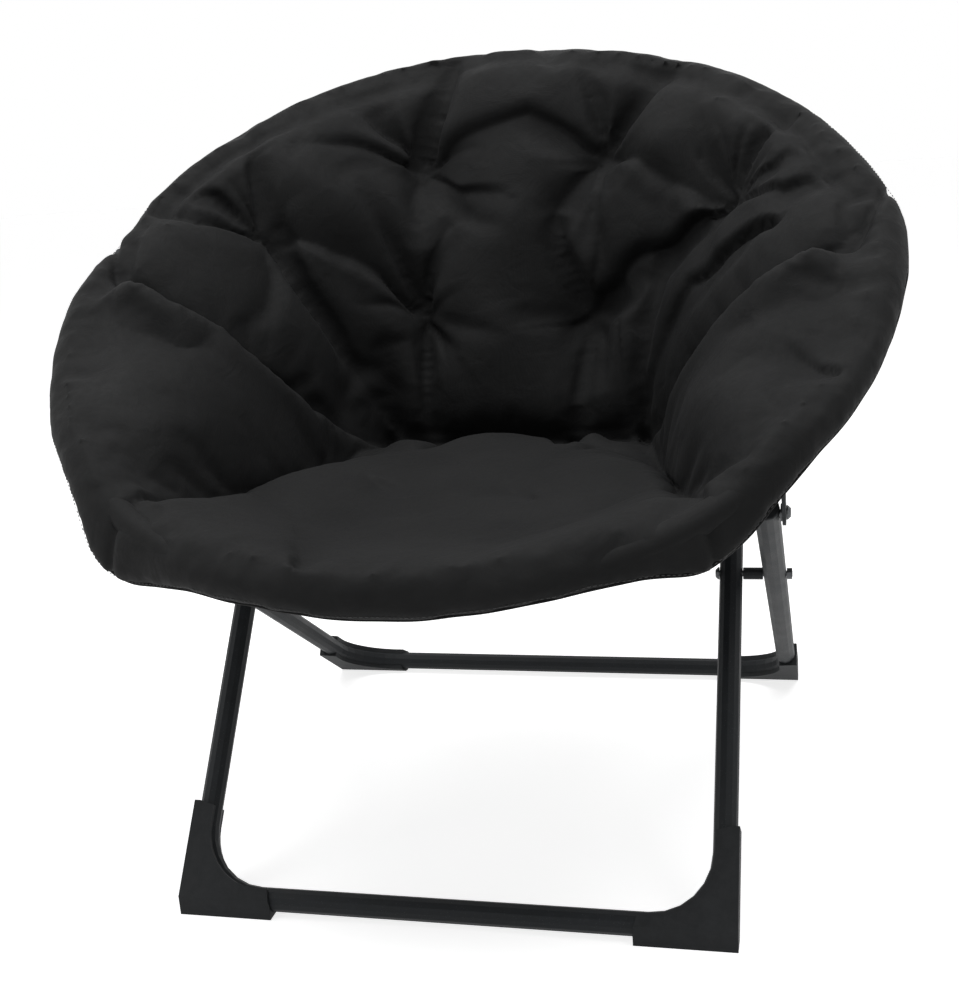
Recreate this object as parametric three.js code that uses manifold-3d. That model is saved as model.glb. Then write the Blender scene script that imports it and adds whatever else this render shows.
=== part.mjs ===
// Folding saucer chair: a padded round cover on a hinged ring, carried by two crossing U legs.
// Millimetres, +Z up, the sitter faces -Y. The origin is on the floor, under the middle of the chair's box.
import * as THREE from "three";
import { mergeVertices } from "three/addons/utils/BufferGeometryUtils.js";
import Module from "manifold-3d";

const wasm = await Module();
wasm.setup();

const { PI, cos, sin, tan, hypot, atan2, sqrt, exp, abs, min, max } = Math;
const { degToRad, clamp, smoothstep } = THREE.MathUtils;

// Tubes
const tubeOuter = 22;
const tubeWall = 1.2;
const tubeSides = 12;
const bendSteps = 6;

// Leg frames: how they stand, how far each lies inside the ring, and where they cross and bend
const baseDepth = 594;
const barHeight = 14;
const outerLegInset = 100.5;
const innerTopInset = 92;
const crossGap = 19.5;
const crossBelowPivot = 194.5;
const footBend = 66;
const kneeBeyondCross = 50;
const kneeBend = 70;
const topOverhang = 12;

// Ring of the seat, in its own tilted plane
const ringForward = 83;
const ringHeight = 575;
const ringTilt = degToRad(31.5);
const ringRadius = 392;
const ringDrop = 18;
const hingeBehind = 100;
const ringSteps = 26;
// The pivots hang under the ring's tube, and lean from straight under it
const frontPivotDrop = 63.3;
const frontPivotLean = 3.9;
const rearPivotDrop = 45;
const rearPivotLean = 23.7;

// Clearances
const fitGap = 0.3;
const boreClearance = 0.3;
const runningGap = 0.6;
const cutOverrun = 20;

// Bolts, nuts and washers
const boltRadius = 3;
const boltHeadRadius = 6.2;
const boltHeadHeight = 3.6;
const boltHeadRound = 2.4;
const boltSides = 12;
const nutAcross = 10;
const nutHeight = 5;
const nutSides = 6;
const washerRadius = 7.5;
const washerThickness = 1.2;
const sleeveRadius = 6;
const pinRadius = 2.5;
const pinHeadRadius = 5;
const pinHeadHeight = 2;

// Tabs under the ring and the hinge leaves
const tabThickness = 3;
const tabWidth = 22;
const leafThickness = 3;
const leafWidth = 17;
const leafTongueLength = 18;
const leafEyeRadius = 8.8;
const leafGap = 26;
const stopLipLength = 9;
const stopLipThickness = 1.6;

// Plugs in the open tops of the legs
const plugDepth = 7;
const plugCap = 1.6;
const plugWall = 1.5;
const plugRound = 0.8;

// Corner feet
const footWidth = 27;
const footWall = 2.2;
const footUp = 88;
const footIn = 92;
const footInset = 3.5;
const footChamfer = 4;

// Cover
const hemWall = 8;
const hemTop = 2;
const hemRound = 9;
const lipDrop = 34;
const innerLipDrop = 25;
const grooveClearance = 1;
const bowlInset = 6;
const bowlEdgeDrop = 18;
const bowlDepth = 300;
const creaseBehind = 54;
const creaseInset = 247;
const seatCornerAngle = degToRad(-53.5);
const cornerSag = 16;
const cornerReach = 6;
const cornerSpread = degToRad(22);
const padHalf = 30;
const seatHalf = 18;
const padHalfUnder = 13;
const seamHalf = 5;
const seamReach = 44;
const underReach = 60;
const tuftReach = 46;
const tuftDip = 24;
const lipRise = 22;
const lipAhead = 15;
const lipSpread = 26;
const coverAngularSteps = 72;
const coverRadialSteps = 13;
const panelGap = 0.3;
// How the bowl falls from its edge to the crease: the power of the fall at the back, side and front
const easeShare = 0.03;
const rimShare = 0.3;
const swellShare = 0.08;
const slopeShare = 0.001;
const tinyShare = 0.0001;
const fallShares = { back: 1.3, side: 1.35, front: 0.68 };
// Tufts of the back panel, as shares of the bowl's edge radius: across, and up from the ring's middle line
const tuftShares = [
  [0.275, 0.72],
  [0.65, 0.42],
  [0.25, 0.39],
];

const tubeRadius = tubeOuter / 2;
const barForward = baseDepth / 2;
const grooveInner = ringRadius - tubeRadius - grooveClearance;
const grooveOuter = ringRadius + tubeRadius + grooveClearance;
const bowlEdge = grooveInner - bowlInset;
const coverRadius = grooveOuter + hemWall;
const creaseHalf = ringRadius - creaseInset;

// Materials
function paint() {
  return new THREE.MeshStandardMaterial({ color: 0x33373a, roughness: 0.42, metalness: 0.25 });
}

function footPlastic() {
  return new THREE.MeshStandardMaterial({ color: 0x2f3133, roughness: 0.6, metalness: 0 });
}

function zinc() {
  return new THREE.MeshStandardMaterial({ color: 0x55585c, roughness: 0.35, metalness: 0.9 });
}

function coverFabric() {
  return new THREE.MeshStandardMaterial({ color: 0x151618, roughness: 0.72, metalness: 0 });
}

// Solids

function solidOf(geometry) {
  const bare = geometry.index ? geometry.clone() : geometry;
  bare.deleteAttribute("normal");
  bare.deleteAttribute("uv");
  const merged = mergeVertices(bare, 1e-4);
  return new wasm.Manifold(
    new wasm.Mesh({
      numProp: 3,
      vertProperties: new Float32Array(merged.attributes.position.array),
      triVerts: new Uint32Array(merged.index.array),
    }),
  );
}

function geometryOf(solid) {
  const { vertProperties, triVerts } = solid.getMesh();
  const geometry = new THREE.BufferGeometry();
  geometry.setAttribute("position", new THREE.BufferAttribute(new Float32Array(vertProperties), 3));
  geometry.setIndex(new THREE.BufferAttribute(new Uint32Array(triVerts), 1));
  geometry.computeVertexNormals();
  return geometry;
}

function cut(geometry, ...tools) {
  return geometryOf(tools.reduce((left, tool) => left.subtract(solidOf(tool)), solidOf(geometry)));
}

function join(...geometries) {
  return geometryOf(geometries.map(solidOf).reduce((all, one) => all.add(one)));
}

function common(geometry, ...tools) {
  return geometryOf(tools.reduce((left, tool) => left.intersect(solidOf(tool)), solidOf(geometry)));
}

function box(low, high) {
  const size = high.clone().sub(low);
  const middle = high.clone().add(low).multiplyScalar(0.5);
  return new THREE.BoxGeometry(size.x, size.y, size.z).translate(middle.x, middle.y, middle.z);
}

// A round bar along X from one x to another, through a point of the side plane.
function barAlongX(radius, from, to, at, sides = boltSides) {
  return new THREE.CylinderGeometry(radius, radius, abs(to - from), sides)
    .rotateZ(PI / 2)
    .translate((from + to) / 2, at.y, at.z);
}

// A path whose parameter steps evenly from station to station, so that bends get more steps than straights.
class StationPath extends THREE.Curve {
  constructor(stations) {
    super();
    this.stations = stations;
  }
  get steps() {
    return this.stations.length - 1;
  }
  getPoint(share) {
    const place = clamp(share, 0, 1) * this.steps;
    const first = min(Math.floor(place), this.steps - 1);
    return this.stations[first].clone().lerp(this.stations[first + 1], place - first);
  }
  getPointAt(share) {
    return this.getPoint(share);
  }
  getTangentAt(share) {
    const here = Math.round(share * this.steps);
    const before = this.stations[max(here - 1, 0)];
    const after = this.stations[min(here + 1, this.steps)];
    return after.clone().sub(before).normalize();
  }
}

// Straight runs between corner points, each inner corner rounded by an arc of the given radius.
function roundedStations(corners, radii, steps) {
  const stations = [corners[0].clone()];
  corners.slice(1, -1).forEach((corner, i) => {
    const back = corners[i].clone().sub(corner).normalize();
    const ahead = corners[i + 2].clone().sub(corner).normalize();
    const half = back.angleTo(ahead) / 2;
    const reach = radii[i] / tan(half);
    const centre = back.clone().add(ahead).normalize().multiplyScalar(radii[i] / sin(half)).add(corner);
    const start = back.clone().multiplyScalar(reach).add(corner).sub(centre);
    const axis = ahead.clone().cross(back).normalize();
    const turn = PI - 2 * half;
    for (let step = 0; step <= steps; step++) {
      stations.push(start.clone().applyAxisAngle(axis, (turn * step) / steps).add(centre));
    }
  });
  stations.push(corners.at(-1).clone());
  return stations;
}

function disc(radius, sides) {
  const shape = new THREE.Shape();
  for (let side = 0; side < sides; side++) {
    const turn = (2 * PI * side) / sides;
    const go = side ? "lineTo" : "moveTo";
    shape[go](radius * cos(turn), radius * sin(turn));
  }
  shape.closePath();
  return shape;
}

function sweep(shape, stations) {
  const extrudePath = new StationPath(stations);
  return new THREE.ExtrudeGeometry(shape, { steps: extrudePath.steps, extrudePath, curveSegments: 1 });
}

function hollowTube(stations) {
  const section = disc(tubeRadius, tubeSides);
  section.holes.push(disc(tubeRadius - tubeWall, tubeSides));
  return sweep(section, stations);
}

function solidTube(stations, radius) {
  return sweep(disc(radius, tubeSides), stations);
}

function mirrored(points) {
  return points.map((point) => new THREE.Vector3(-point.x, point.y, point.z)).reverse();
}

// Stacks along X, from the chair's middle outwards

const outerX = ringRadius - outerLegInset;
const innerX = outerX - tubeOuter - crossGap;
const innerTopX = ringRadius - innerTopInset;
const frontWasherX = outerX + tubeRadius + fitGap;
const frontTabX = frontWasherX + washerThickness + fitGap;

// The side plane: points where x is zero

const innerBar = new THREE.Vector3(0, -barForward, barHeight);
const outerBar = new THREE.Vector3(0, barForward, barHeight);
const ringOrigin = new THREE.Vector3(0, -ringForward, ringHeight);

function onRing(x, behind, above) {
  const point = new THREE.Vector3(x, behind, above);
  return point.applyAxisAngle(new THREE.Vector3(1, 0, 0), ringTilt).add(ringOrigin);
}

function intoRing(point) {
  return point.clone().sub(ringOrigin).applyAxisAngle(new THREE.Vector3(1, 0, 0), -ringTilt);
}

// How far in front of or behind the ring's middle its tube's centre line lies at an x.
function ringReach(x) {
  return sqrt(ringRadius ** 2 - x ** 2);
}

const frontPivotAhead = ringReach(frontTabX + tabThickness / 2) - frontPivotLean;
const frontPivot = onRing(0, -frontPivotAhead, -ringDrop - frontPivotDrop);
const rearPivotBehind = ringReach(innerTopX + tubeRadius + tabThickness) - rearPivotLean;
const rearPivot = onRing(0, rearPivotBehind, -ringDrop - rearPivotDrop);
const outerUp = frontPivot.clone().sub(outerBar).normalize();
const cross = outerUp.clone().multiplyScalar(-crossBelowPivot).add(frontPivot);
const innerUp = cross.clone().sub(innerBar).normalize();
const kneePoint = innerUp.clone().multiplyScalar(kneeBeyondCross).add(cross);
const topLean = atan2(innerTopX - innerX, rearPivot.distanceTo(kneePoint));
const hinge = new THREE.Vector3(0, hingeBehind, -ringDrop);
const hingeX = ringReach(hingeBehind);

// How far a leaning tube's wall stands out along X at a distance from its axis.
function leaningWall(away) {
  return tubeRadius / cos(topLean) + away * tan(topLean);
}

const rearWasherX = innerTopX + leaningWall(washerRadius) + fitGap;
const rearTabX = rearWasherX + washerThickness + fitGap;

function at(point, x) {
  return new THREE.Vector3(x, point.y, point.z);
}

const chair = new THREE.Group();

function add(parent, name, geometry, material) {
  const mesh = new THREE.Mesh(geometry, material);
  mesh.name = name;
  parent.add(mesh);
  return mesh;
}

// Makes a piece for the right side and its mirror image for the left, and then fits each to what it sits on.
function bothSides(parent, name, make, material, fit = (geometry) => geometry) {
  add(parent, `${name}_right`, fit(make()), material());
  add(parent, `${name}_left`, fit(mirrorX(make())), material());
}

function mirrorX(geometry) {
  const flipped = geometry.index ? geometry.toNonIndexed() : geometry.clone();
  flipped.scale(-1, 1, 1);
  const place = flipped.attributes.position;
  const spare = new THREE.Vector3();
  const other = new THREE.Vector3();
  for (let i = 0; i < place.count; i += 3) {
    spare.fromBufferAttribute(place, i + 1);
    other.fromBufferAttribute(place, i + 2);
    place.setXYZ(i + 1, other.x, other.y, other.z);
    place.setXYZ(i + 2, spare.x, spare.y, spare.z);
  }
  flipped.computeVertexNormals();
  return flipped;
}

// Leg frames

function outerLegStations() {
  const top = outerUp.clone().multiplyScalar(topOverhang).add(frontPivot);
  const right = [at(outerBar, outerX), at(top, outerX)];
  return roundedStations([...mirrored(right), ...right], [footBend, footBend], bendSteps);
}

function innerLegCorners() {
  const knee = at(kneePoint, innerX);
  const end = at(rearPivot, innerTopX);
  const over = end.clone().sub(knee).setLength(topOverhang);
  return [at(innerBar, innerX), knee, end.add(over)];
}

function innerLegStations() {
  const right = innerLegCorners();
  const radii = [kneeBend, footBend, footBend, kneeBend];
  return roundedStations([...mirrored(right), ...right], radii, bendSteps);
}

function bore(from, to, point) {
  return barAlongX(boltRadius + boreClearance, from, to, point);
}

function boreBoth(half, point) {
  const reach = tubeRadius + cutOverrun;
  return [bore(half - reach, half + reach, point), bore(-half - reach, -half + reach, point)];
}

function outerLegFrame() {
  return cut(hollowTube(outerLegStations()), ...boreBoth(outerX, cross), ...boreBoth(outerX, frontPivot));
}

function innerLegFrame() {
  return cut(hollowTube(innerLegStations()), ...boreBoth(innerX, cross), ...boreBoth(innerTopX, rearPivot));
}

// A plug with a flat cap, seated on the tube's open end and standing inside its bore.
function legPlug(stations) {
  const end = stations.at(-1);
  const along = end.clone().sub(stations.at(-2)).normalize();
  const skirt = (tubeRadius - tubeWall) * cos(PI / tubeSides) - fitGap;
  const profile = [
    [0, fitGap - plugWall],
    [skirt - plugWall, fitGap - plugWall],
    [skirt - plugWall, fitGap - plugDepth],
    [skirt, fitGap - plugDepth],
    [skirt, fitGap],
    [tubeRadius, fitGap],
    [tubeRadius, fitGap + plugCap - plugRound],
    [tubeRadius - plugRound, fitGap + plugCap],
    [0, fitGap + plugCap],
  ];
  const points = profile.map(([r, h]) => new THREE.Vector2(r, h));
  const turned = new THREE.LatheGeometry(points, tubeSides);
  const towards = new THREE.Quaternion().setFromUnitVectors(new THREE.Vector3(0, 1, 0), along);
  return turned.applyQuaternion(towards).translate(end.x, end.y, end.z);
}

// A corner foot: a squared block over the outside of the bend, hugging the tube, with a flat sole.
function footBlock(bar, up, halfSpan) {
  const lean = atan2(up.y, up.z);
  const out = tubeRadius + footWall;
  const down = tubeRadius + barHeight;
  const outline = new THREE.Shape();
  outline.moveTo(footInset, -down);
  outline.lineTo(footIn, -down);
  outline.lineTo(footIn, -tubeRadius + footInset);
  outline.lineTo(footIn - footChamfer, tubeRadius - footInset);
  outline.lineTo(footBend + out, tubeRadius - footInset);
  outline.absarc(footBend + out, footBend, footBend - tubeRadius + footInset, -PI / 2, -PI, true);
  outline.lineTo(out + tubeRadius - footInset, footUp - footChamfer);
  outline.lineTo(out - tubeRadius + footInset, footUp);
  outline.lineTo(0, footUp);
  outline.lineTo(0, footInset - down);
  const settings = { depth: footWidth, bevelEnabled: false, curveSegments: bendSteps };
  const block = new THREE.ExtrudeGeometry(outline, settings);
  block.translate(0, 0, -footWidth / 2).applyMatrix4(
    new THREE.Matrix4().makeBasis(
      new THREE.Vector3(-1, 0, 0),
      new THREE.Vector3(0, sin(lean), cos(lean)),
      new THREE.Vector3(0, cos(lean), -sin(lean)),
    ),
  );
  return block.translate(halfSpan + out, bar.y, bar.z);
}

function fitFoot(block, bar, stations) {
  const outward = Math.sign(bar.y);
  const near = bar.y - outward * baseDepth;
  const far = bar.y + outward * (tubeRadius + footWall);
  const standing = box(
    new THREE.Vector3(-baseDepth, min(near, far), 0),
    new THREE.Vector3(baseDepth, max(near, far), baseDepth),
  );
  return cut(common(block, standing), solidTube(stations, tubeRadius + fitGap));
}

// Fasteners

// A bolt whose head is under x = from and whose shank ends at x = to; it points outwards or inwards.
function bolt(from, to, point) {
  const way = Math.sign(to - from);
  const profile = [
    [0, -boltHeadHeight],
    [boltHeadRadius - boltHeadRound, -boltHeadHeight],
    [boltHeadRadius, boltHeadRound - boltHeadHeight],
    [boltHeadRadius, 0],
    [boltRadius, 0],
    [boltRadius, abs(to - from)],
    [0, abs(to - from)],
  ];
  const points = profile.map(([r, h]) => new THREE.Vector2(r, h));
  const turned = new THREE.LatheGeometry(points, boltSides);
  return turned.rotateZ((-way * PI) / 2).translate(from, point.y, point.z);
}

function ringAlongX(outer, inner, from, to, point, sides) {
  const shape = disc(outer, sides);
  shape.holes.push(disc(inner, boltSides));
  const plate = new THREE.ExtrudeGeometry(shape, { depth: to - from, bevelEnabled: false });
  return plate.rotateY(PI / 2).translate(from, point.y, point.z);
}

function nut(from, to, point) {
  const corner = nutAcross / 2 / cos(PI / nutSides);
  return ringAlongX(corner, boltRadius + fitGap, from, to, point, nutSides);
}

function washer(from, point) {
  return ringAlongX(washerRadius, boltRadius + fitGap, from, from + washerThickness, point, 2 * boltSides);
}

// Crossing of the legs

const crossHeadX = innerX - tubeRadius - fitGap;
const crossNutX = outerX + tubeRadius + fitGap;

function crossBolt() {
  return bolt(crossHeadX, crossNutX + nutHeight + fitGap, cross);
}

function crossSleeve() {
  const from = innerX + tubeRadius + runningGap;
  const to = outerX - tubeRadius - fitGap;
  return ringAlongX(sleeveRadius, boltRadius + fitGap, from, to, cross, boltSides);
}

function crossNut() {
  return nut(crossNutX, crossNutX + nutHeight, cross);
}

// Front tabs, where the outer leg carries the front half ring

const frontNutX = outerX - tubeRadius - fitGap;

function frontTabBolt() {
  const head = frontTabX + tabThickness + fitGap;
  return bolt(head, frontNutX - nutHeight - fitGap, frontPivot);
}

function frontTabWasher() {
  return washer(frontWasherX, frontPivot);
}

function frontTabNut() {
  return nut(frontNutX - nutHeight, frontNutX, frontPivot);
}

// A plate in the side plane from a pivot up to the ring tube that it is welded to, in the ring's frame.
function tabPlate(fromX, pivot, behindSign, stations, boreRadius) {
  const middleX = fromX + tabThickness / 2;
  const up = new THREE.Vector2(behindSign * ringReach(middleX), -ringDrop);
  const low = new THREE.Vector2(pivot.y, pivot.z);
  const along = up.clone().sub(low);
  const length = along.length();
  const half = tabWidth / 2;
  const outline = new THREE.Shape();
  outline.moveTo(length, half);
  outline.lineTo(0, half);
  outline.absarc(0, 0, half, PI / 2, (3 * PI) / 2, false);
  outline.lineTo(length, -half);
  outline.closePath();
  outline.holes.push(disc(boreRadius, boltSides));
  const settings = { depth: tabThickness, bevelEnabled: false, curveSegments: bendSteps };
  const plate = new THREE.ExtrudeGeometry(outline, settings);
  plate.applyMatrix4(
    new THREE.Matrix4().makeBasis(
      new THREE.Vector3(0, along.x / length, along.y / length),
      new THREE.Vector3(0, -along.y / length, along.x / length),
      new THREE.Vector3(1, 0, 0),
    ),
  );
  plate.translate(fromX, pivot.y, pivot.z);
  return cut(plate, solidTube(stations, tubeRadius + fitGap));
}

function frontTab() {
  return tabPlate(frontTabX, intoRing(frontPivot), -1, frontRingStations(), boltRadius + boreClearance);
}

// Rear tabs, where the rear half ring turns on the inner leg

function rearTab() {
  return tabPlate(rearTabX, intoRing(rearPivot), 1, rearRingStations(), boltRadius + boreClearance);
}

function rearTabBolt() {
  return bolt(rearTabX + tabThickness + fitGap, rearTabX, intoRing(rearPivot));
}

function rearLegStud() {
  const from = innerTopX - leaningWall(boltHeadRadius) - fitGap;
  return bolt(from, rearWasherX + washerThickness, rearPivot);
}

function rearWasher() {
  return washer(rearWasherX, rearPivot);
}

// Ring

function ringArc(from, to) {
  const stations = [];
  for (let step = 0; step <= ringSteps; step++) {
    const turn = from + ((to - from) * step) / ringSteps;
    stations.push(new THREE.Vector3(ringRadius * cos(turn), ringRadius * sin(turn), -ringDrop));
  }
  return stations;
}

const hingeAngle = atan2(hingeBehind, hingeX);
const leafGapAngle = leafGap / ringRadius;

function frontRingStations() {
  return ringArc(hingeAngle - leafGapAngle, -PI - hingeAngle + leafGapAngle);
}

function rearRingStations() {
  return ringArc(hingeAngle + leafGapAngle, PI - hingeAngle - leafGapAngle);
}

// The outline of a strip of the given thickness along a bent line in the ring's plane.
function strip(line, thickness) {
  const side = (sign) =>
    line.map((point, i) => {
      const before = line[max(i, 1)].clone().sub(line[max(i, 1) - 1]).normalize();
      const next = min(i + 1, line.length - 1);
      const after = line[next].clone().sub(line[next - 1]).normalize();
      const across = new THREE.Vector2(-before.y - after.y, before.x + after.x);
      return across.multiplyScalar((sign * thickness) / (2 + 2 * before.dot(after))).add(point);
    });
  return new THREE.Shape([...side(-1), ...side(1).reverse()]);
}

// A hinge leaf: an eye round the pin, and a strip that is bent to stand in the half ring's open end.
function hingeLeaf(fromX, way) {
  const middleX = fromX + leafThickness / 2;
  const tubeEnd = hingeAngle + way * leafGapAngle;
  const entry = new THREE.Vector2(ringRadius * cos(tubeEnd), ringRadius * sin(tubeEnd));
  const into = new THREE.Vector2(-sin(tubeEnd), cos(tubeEnd)).multiplyScalar(way * leafTongueLength);
  const line = [
    new THREE.Vector2(middleX, hingeBehind),
    new THREE.Vector2(middleX, hingeBehind + way * leafEyeRadius),
    entry,
    into.add(entry),
  ];
  const settings = { depth: leafWidth, bevelEnabled: false };
  const bent = new THREE.ExtrudeGeometry(strip(line, leafThickness), settings);
  bent.translate(0, 0, hinge.z - leafWidth / 2);
  return join(bent, barAlongX(leafEyeRadius, fromX, fromX + leafThickness, hinge, 2 * boltSides));
}

function pinBore() {
  return barAlongX(pinRadius + boreClearance, hingeX - cutOverrun, hingeX + cutOverrun, hinge);
}

// The lip on the front leaf that the rear leaf's upper edge rests against while the ring lies flat.
function stopLip(fromX) {
  const under = hinge.z + leafEyeRadius + fitGap;
  return box(
    new THREE.Vector3(fromX - leafThickness - fitGap, hingeBehind - stopLipLength, under),
    new THREE.Vector3(fromX + leafThickness, hingeBehind + stopLipLength, under + stopLipThickness),
  );
}

const frontLeafX = hingeX + fitGap / 2;
const rearLeafX = hingeX - fitGap / 2 - leafThickness;

function frontLeaf() {
  const stem = box(
    new THREE.Vector3(frontLeafX, hingeBehind - stopLipLength, hinge.z),
    new THREE.Vector3(
      frontLeafX + leafThickness,
      hingeBehind + stopLipLength / 2,
      hinge.z + leafEyeRadius + 2 * fitGap,
    ),
  );
  return cut(join(hingeLeaf(frontLeafX, -1), stem, stopLip(frontLeafX)), pinBore());
}

function rearLeaf() {
  return cut(hingeLeaf(rearLeafX, 1), pinBore());
}

function hingePin() {
  const low = rearLeafX - fitGap;
  const high = frontLeafX + leafThickness + fitGap;
  return join(
    barAlongX(pinHeadRadius, low - pinHeadHeight, low, hinge),
    barAlongX(pinRadius, low - pinHeadHeight, high + pinHeadHeight, hinge),
    barAlongX(pinHeadRadius, high, high + pinHeadHeight, hinge),
  );
}

// Cover

function bump(angle, centre, spread) {
  const away = abs(THREE.MathUtils.euclideanModulo(angle - centre + PI, 2 * PI) - PI);
  return 1 - smoothstep(away, 0, spread);
}

// How full the front corners are at an angle round the ring, from none to one.
function cornerFullness(angle) {
  return bump(angle, seatCornerAngle, cornerSpread) + bump(angle, -PI - seatCornerAngle, cornerSpread);
}

function fallPower(angle) {
  const rise = sin(angle);
  const corner = sin(seatCornerAngle);
  const front = smoothstep(-rise, 0, -corner);
  const side = fallShares.side + (fallShares.front - fallShares.side) * front;
  return rise > 0 ? fallShares.side + (fallShares.back - fallShares.side) * rise : side;
}

function creaseX(angle) {
  return creaseHalf * clamp(cos(angle) / cos(seatCornerAngle), -1, 1);
}

// A point of the bowl's middle sheet: angle round the ring, and share of the way from the edge to the crease.
function bowlPoint(angle, share) {
  const x = bowlEdge * cos(angle) * (1 - share) + creaseX(angle) * share;
  const behind = bowlEdge * sin(angle) * (1 - share) + creaseBehind * share;
  const power = fallPower(angle);
  const start = easeShare ** power;
  const fallen = ((share + easeShare) ** power - start) / ((1 + easeShare) ** power - start);
  return new THREE.Vector3(x, behind, -bowlEdgeDrop - (bowlDepth - bowlEdgeDrop) * fallen);
}

// The plan distance from a point to the nearest line where the panels are sewn together.
function seamDistance(x, behind) {
  const corner = new THREE.Vector3(coverRadius * cos(seatCornerAngle), coverRadius * sin(seatCornerAngle), 0);
  const creaseEnd = new THREE.Vector3(creaseHalf, creaseBehind, 0);
  const sideTop = new THREE.Vector3(hingeX, hingeBehind, 0);
  const creaseMiddle = new THREE.Vector3(0, creaseBehind, 0);
  const point = new THREE.Vector3(abs(x), behind, 0);
  const lines = [
    [corner, creaseEnd],
    [sideTop, creaseEnd],
    [creaseMiddle, creaseEnd],
  ];
  return min(
    ...lines.map(([from, to]) =>
      new THREE.Line3(from, to).closestPointToPoint(point, true, new THREE.Vector3()).distanceTo(point),
    ),
  );
}

function tuftDepth(x, behind) {
  return tuftShares
    .map(([across, up]) => hypot(abs(x) - across * bowlEdge, behind - up * bowlEdge))
    .reduce((all, away) => max(all, 1 - smoothstep(away, 0, tuftReach)), 0);
}

// The side panels' padding stands up as a lip just in front of the seam to the back panel.
function sideLip(x, behind) {
  const from = new THREE.Vector3(hingeX, hingeBehind, 0);
  const seam = new THREE.Line3(from, new THREE.Vector3(creaseHalf, creaseBehind, 0));
  const point = new THREE.Vector3(abs(x), behind, 0);
  const along = seam.closestPointToPointParameter(point, true);
  const away = seam.at(along, new THREE.Vector3()).sub(point);
  const ahead = smoothstep(away.y, 0, lipAhead);
  return lipRise * ahead * sin(PI * along) * exp(-(((away.length() - lipAhead) / lipSpread) ** 2));
}

// Whether a point in plan is on the seat: between the seams that run from the front corners to the crease.
function onSeat(x, behind) {
  const corner = new THREE.Vector2(cos(seatCornerAngle), sin(seatCornerAngle)).multiplyScalar(coverRadius);
  const share = (creaseBehind - behind) / (creaseBehind - corner.y);
  return share > 0 && abs(x) < creaseHalf + (corner.x - creaseHalf) * share;
}

function padAbove(x, behind) {
  const full = smoothstep(seamDistance(x, behind), 0, seamReach);
  const half = onSeat(x, behind) ? seatHalf : padHalf;
  const swell = (half - seamHalf) * full + sideLip(x, behind);
  return seamHalf + swell - tuftDip * tuftDepth(x, behind) * full;
}

function padBelow(x, behind) {
  const full = smoothstep(seamDistance(x, behind), 0, underReach);
  return seamHalf + (padHalfUnder - seamHalf) * full;
}

function bowlNormal(angle, share) {
  const inward = bowlPoint(angle, share + slopeShare).sub(bowlPoint(angle, max(share - slopeShare, 0)));
  const round = bowlPoint(angle + slopeShare, share).sub(bowlPoint(angle - slopeShare, share));
  const normal = round.cross(inward);
  return normal.lengthSq() ? normal.normalize() : new THREE.Vector3(0, 0, 1);
}

// The closed section of the cover at one angle: over the hem, down the upper side, back along the under side,
// and round the groove that the ring lies in.
function coverSection(angle) {
  const full = cornerFullness(angle);
  const hemRadius = coverRadius + cornerReach * full;
  const lip = -lipDrop - cornerSag * full;
  const grooveTop = -ringDrop + tubeRadius + fitGap;
  const place = (radius, above) => new THREE.Vector3(radius * cos(angle), radius * sin(angle), above);
  const rim = [
    place(grooveOuter, lip),
    place(hemRadius - hemRound / 2, lip),
    place(hemRadius, lip + hemRound / 2),
    place(hemRadius, -hemRound),
    place(hemRadius - hemRound / 2, 0),
    place(ringRadius, hemTop),
  ];
  const upper = [];
  const under = [];
  for (let step = 0; step <= coverRadialSteps; step++) {
    const share = step / coverRadialSteps;
    const middle = bowlPoint(angle, share);
    const atCrease = step === coverRadialSteps;
    const normal = atCrease ? new THREE.Vector3(0, 0, 1) : bowlNormal(angle, share);
    const nearEdge = smoothstep(share, 0, rimShare);
    const above = seamHalf + (padAbove(middle.x, middle.y) - seamHalf) * smoothstep(share, 0, swellShare);
    const below = seamHalf + (padBelow(middle.x, middle.y) - seamHalf) * nearEdge;
    upper.push(middle.clone().addScaledVector(normal, above));
    under.push(middle.clone().addScaledVector(normal, -below));
  }
  const groove = [
    place(grooveInner, -innerLipDrop),
    place(grooveInner, grooveTop),
    place(grooveOuter, grooveTop),
  ];
  const crease = rim.length + upper.length - 1;
  return { points: [...rim, ...upper, ...under.reverse(), ...groove], crease };
}

function wholeCover() {
  const positions = [];
  const sections = [];
  for (let step = 0; step < coverAngularSteps; step++) {
    sections.push(coverSection((2 * PI * step) / coverAngularSteps));
  }
  // Where sections share a point at the end of the crease, their triangles have closed up and are left out.
  const triangle = (...corners) => {
    if (new THREE.Triangle(...corners).getArea() > tinyShare * fitGap ** 2) {
      corners.forEach((corner) => positions.push(corner.x, corner.y, corner.z));
    }
  };
  sections.forEach(({ points, crease }, i) => {
    const next = sections[(i + 1) % sections.length].points;
    points.forEach((point, j) => {
      if (j === crease) return;
      const k = (j + 1) % points.length;
      triangle(point, next[j], next[k]);
      triangle(point, next[k], points[k]);
    });
  });
  const geometry = new THREE.BufferGeometry();
  geometry.setAttribute("position", new THREE.Float32BufferAttribute(positions, 3));
  return geometry;
}

// Panels: the cover parted along plan outlines in the ring's frame

// A convex outline, given anticlockwise, drawn in by half the gap between panels.
function drawnIn(outline) {
  return outline.map((corner, i) => {
    const before = corner.clone().sub(outline.at(i - 1)).normalize();
    const after = outline[(i + 1) % outline.length].clone().sub(corner).normalize();
    const first = new THREE.Vector2(-before.y, before.x);
    const second = new THREE.Vector2(-after.y, after.x);
    const reach = panelGap / 2 / (1 + first.dot(second));
    return first.add(second).multiplyScalar(reach).add(corner);
  });
}

const cover = wholeCover();

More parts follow.
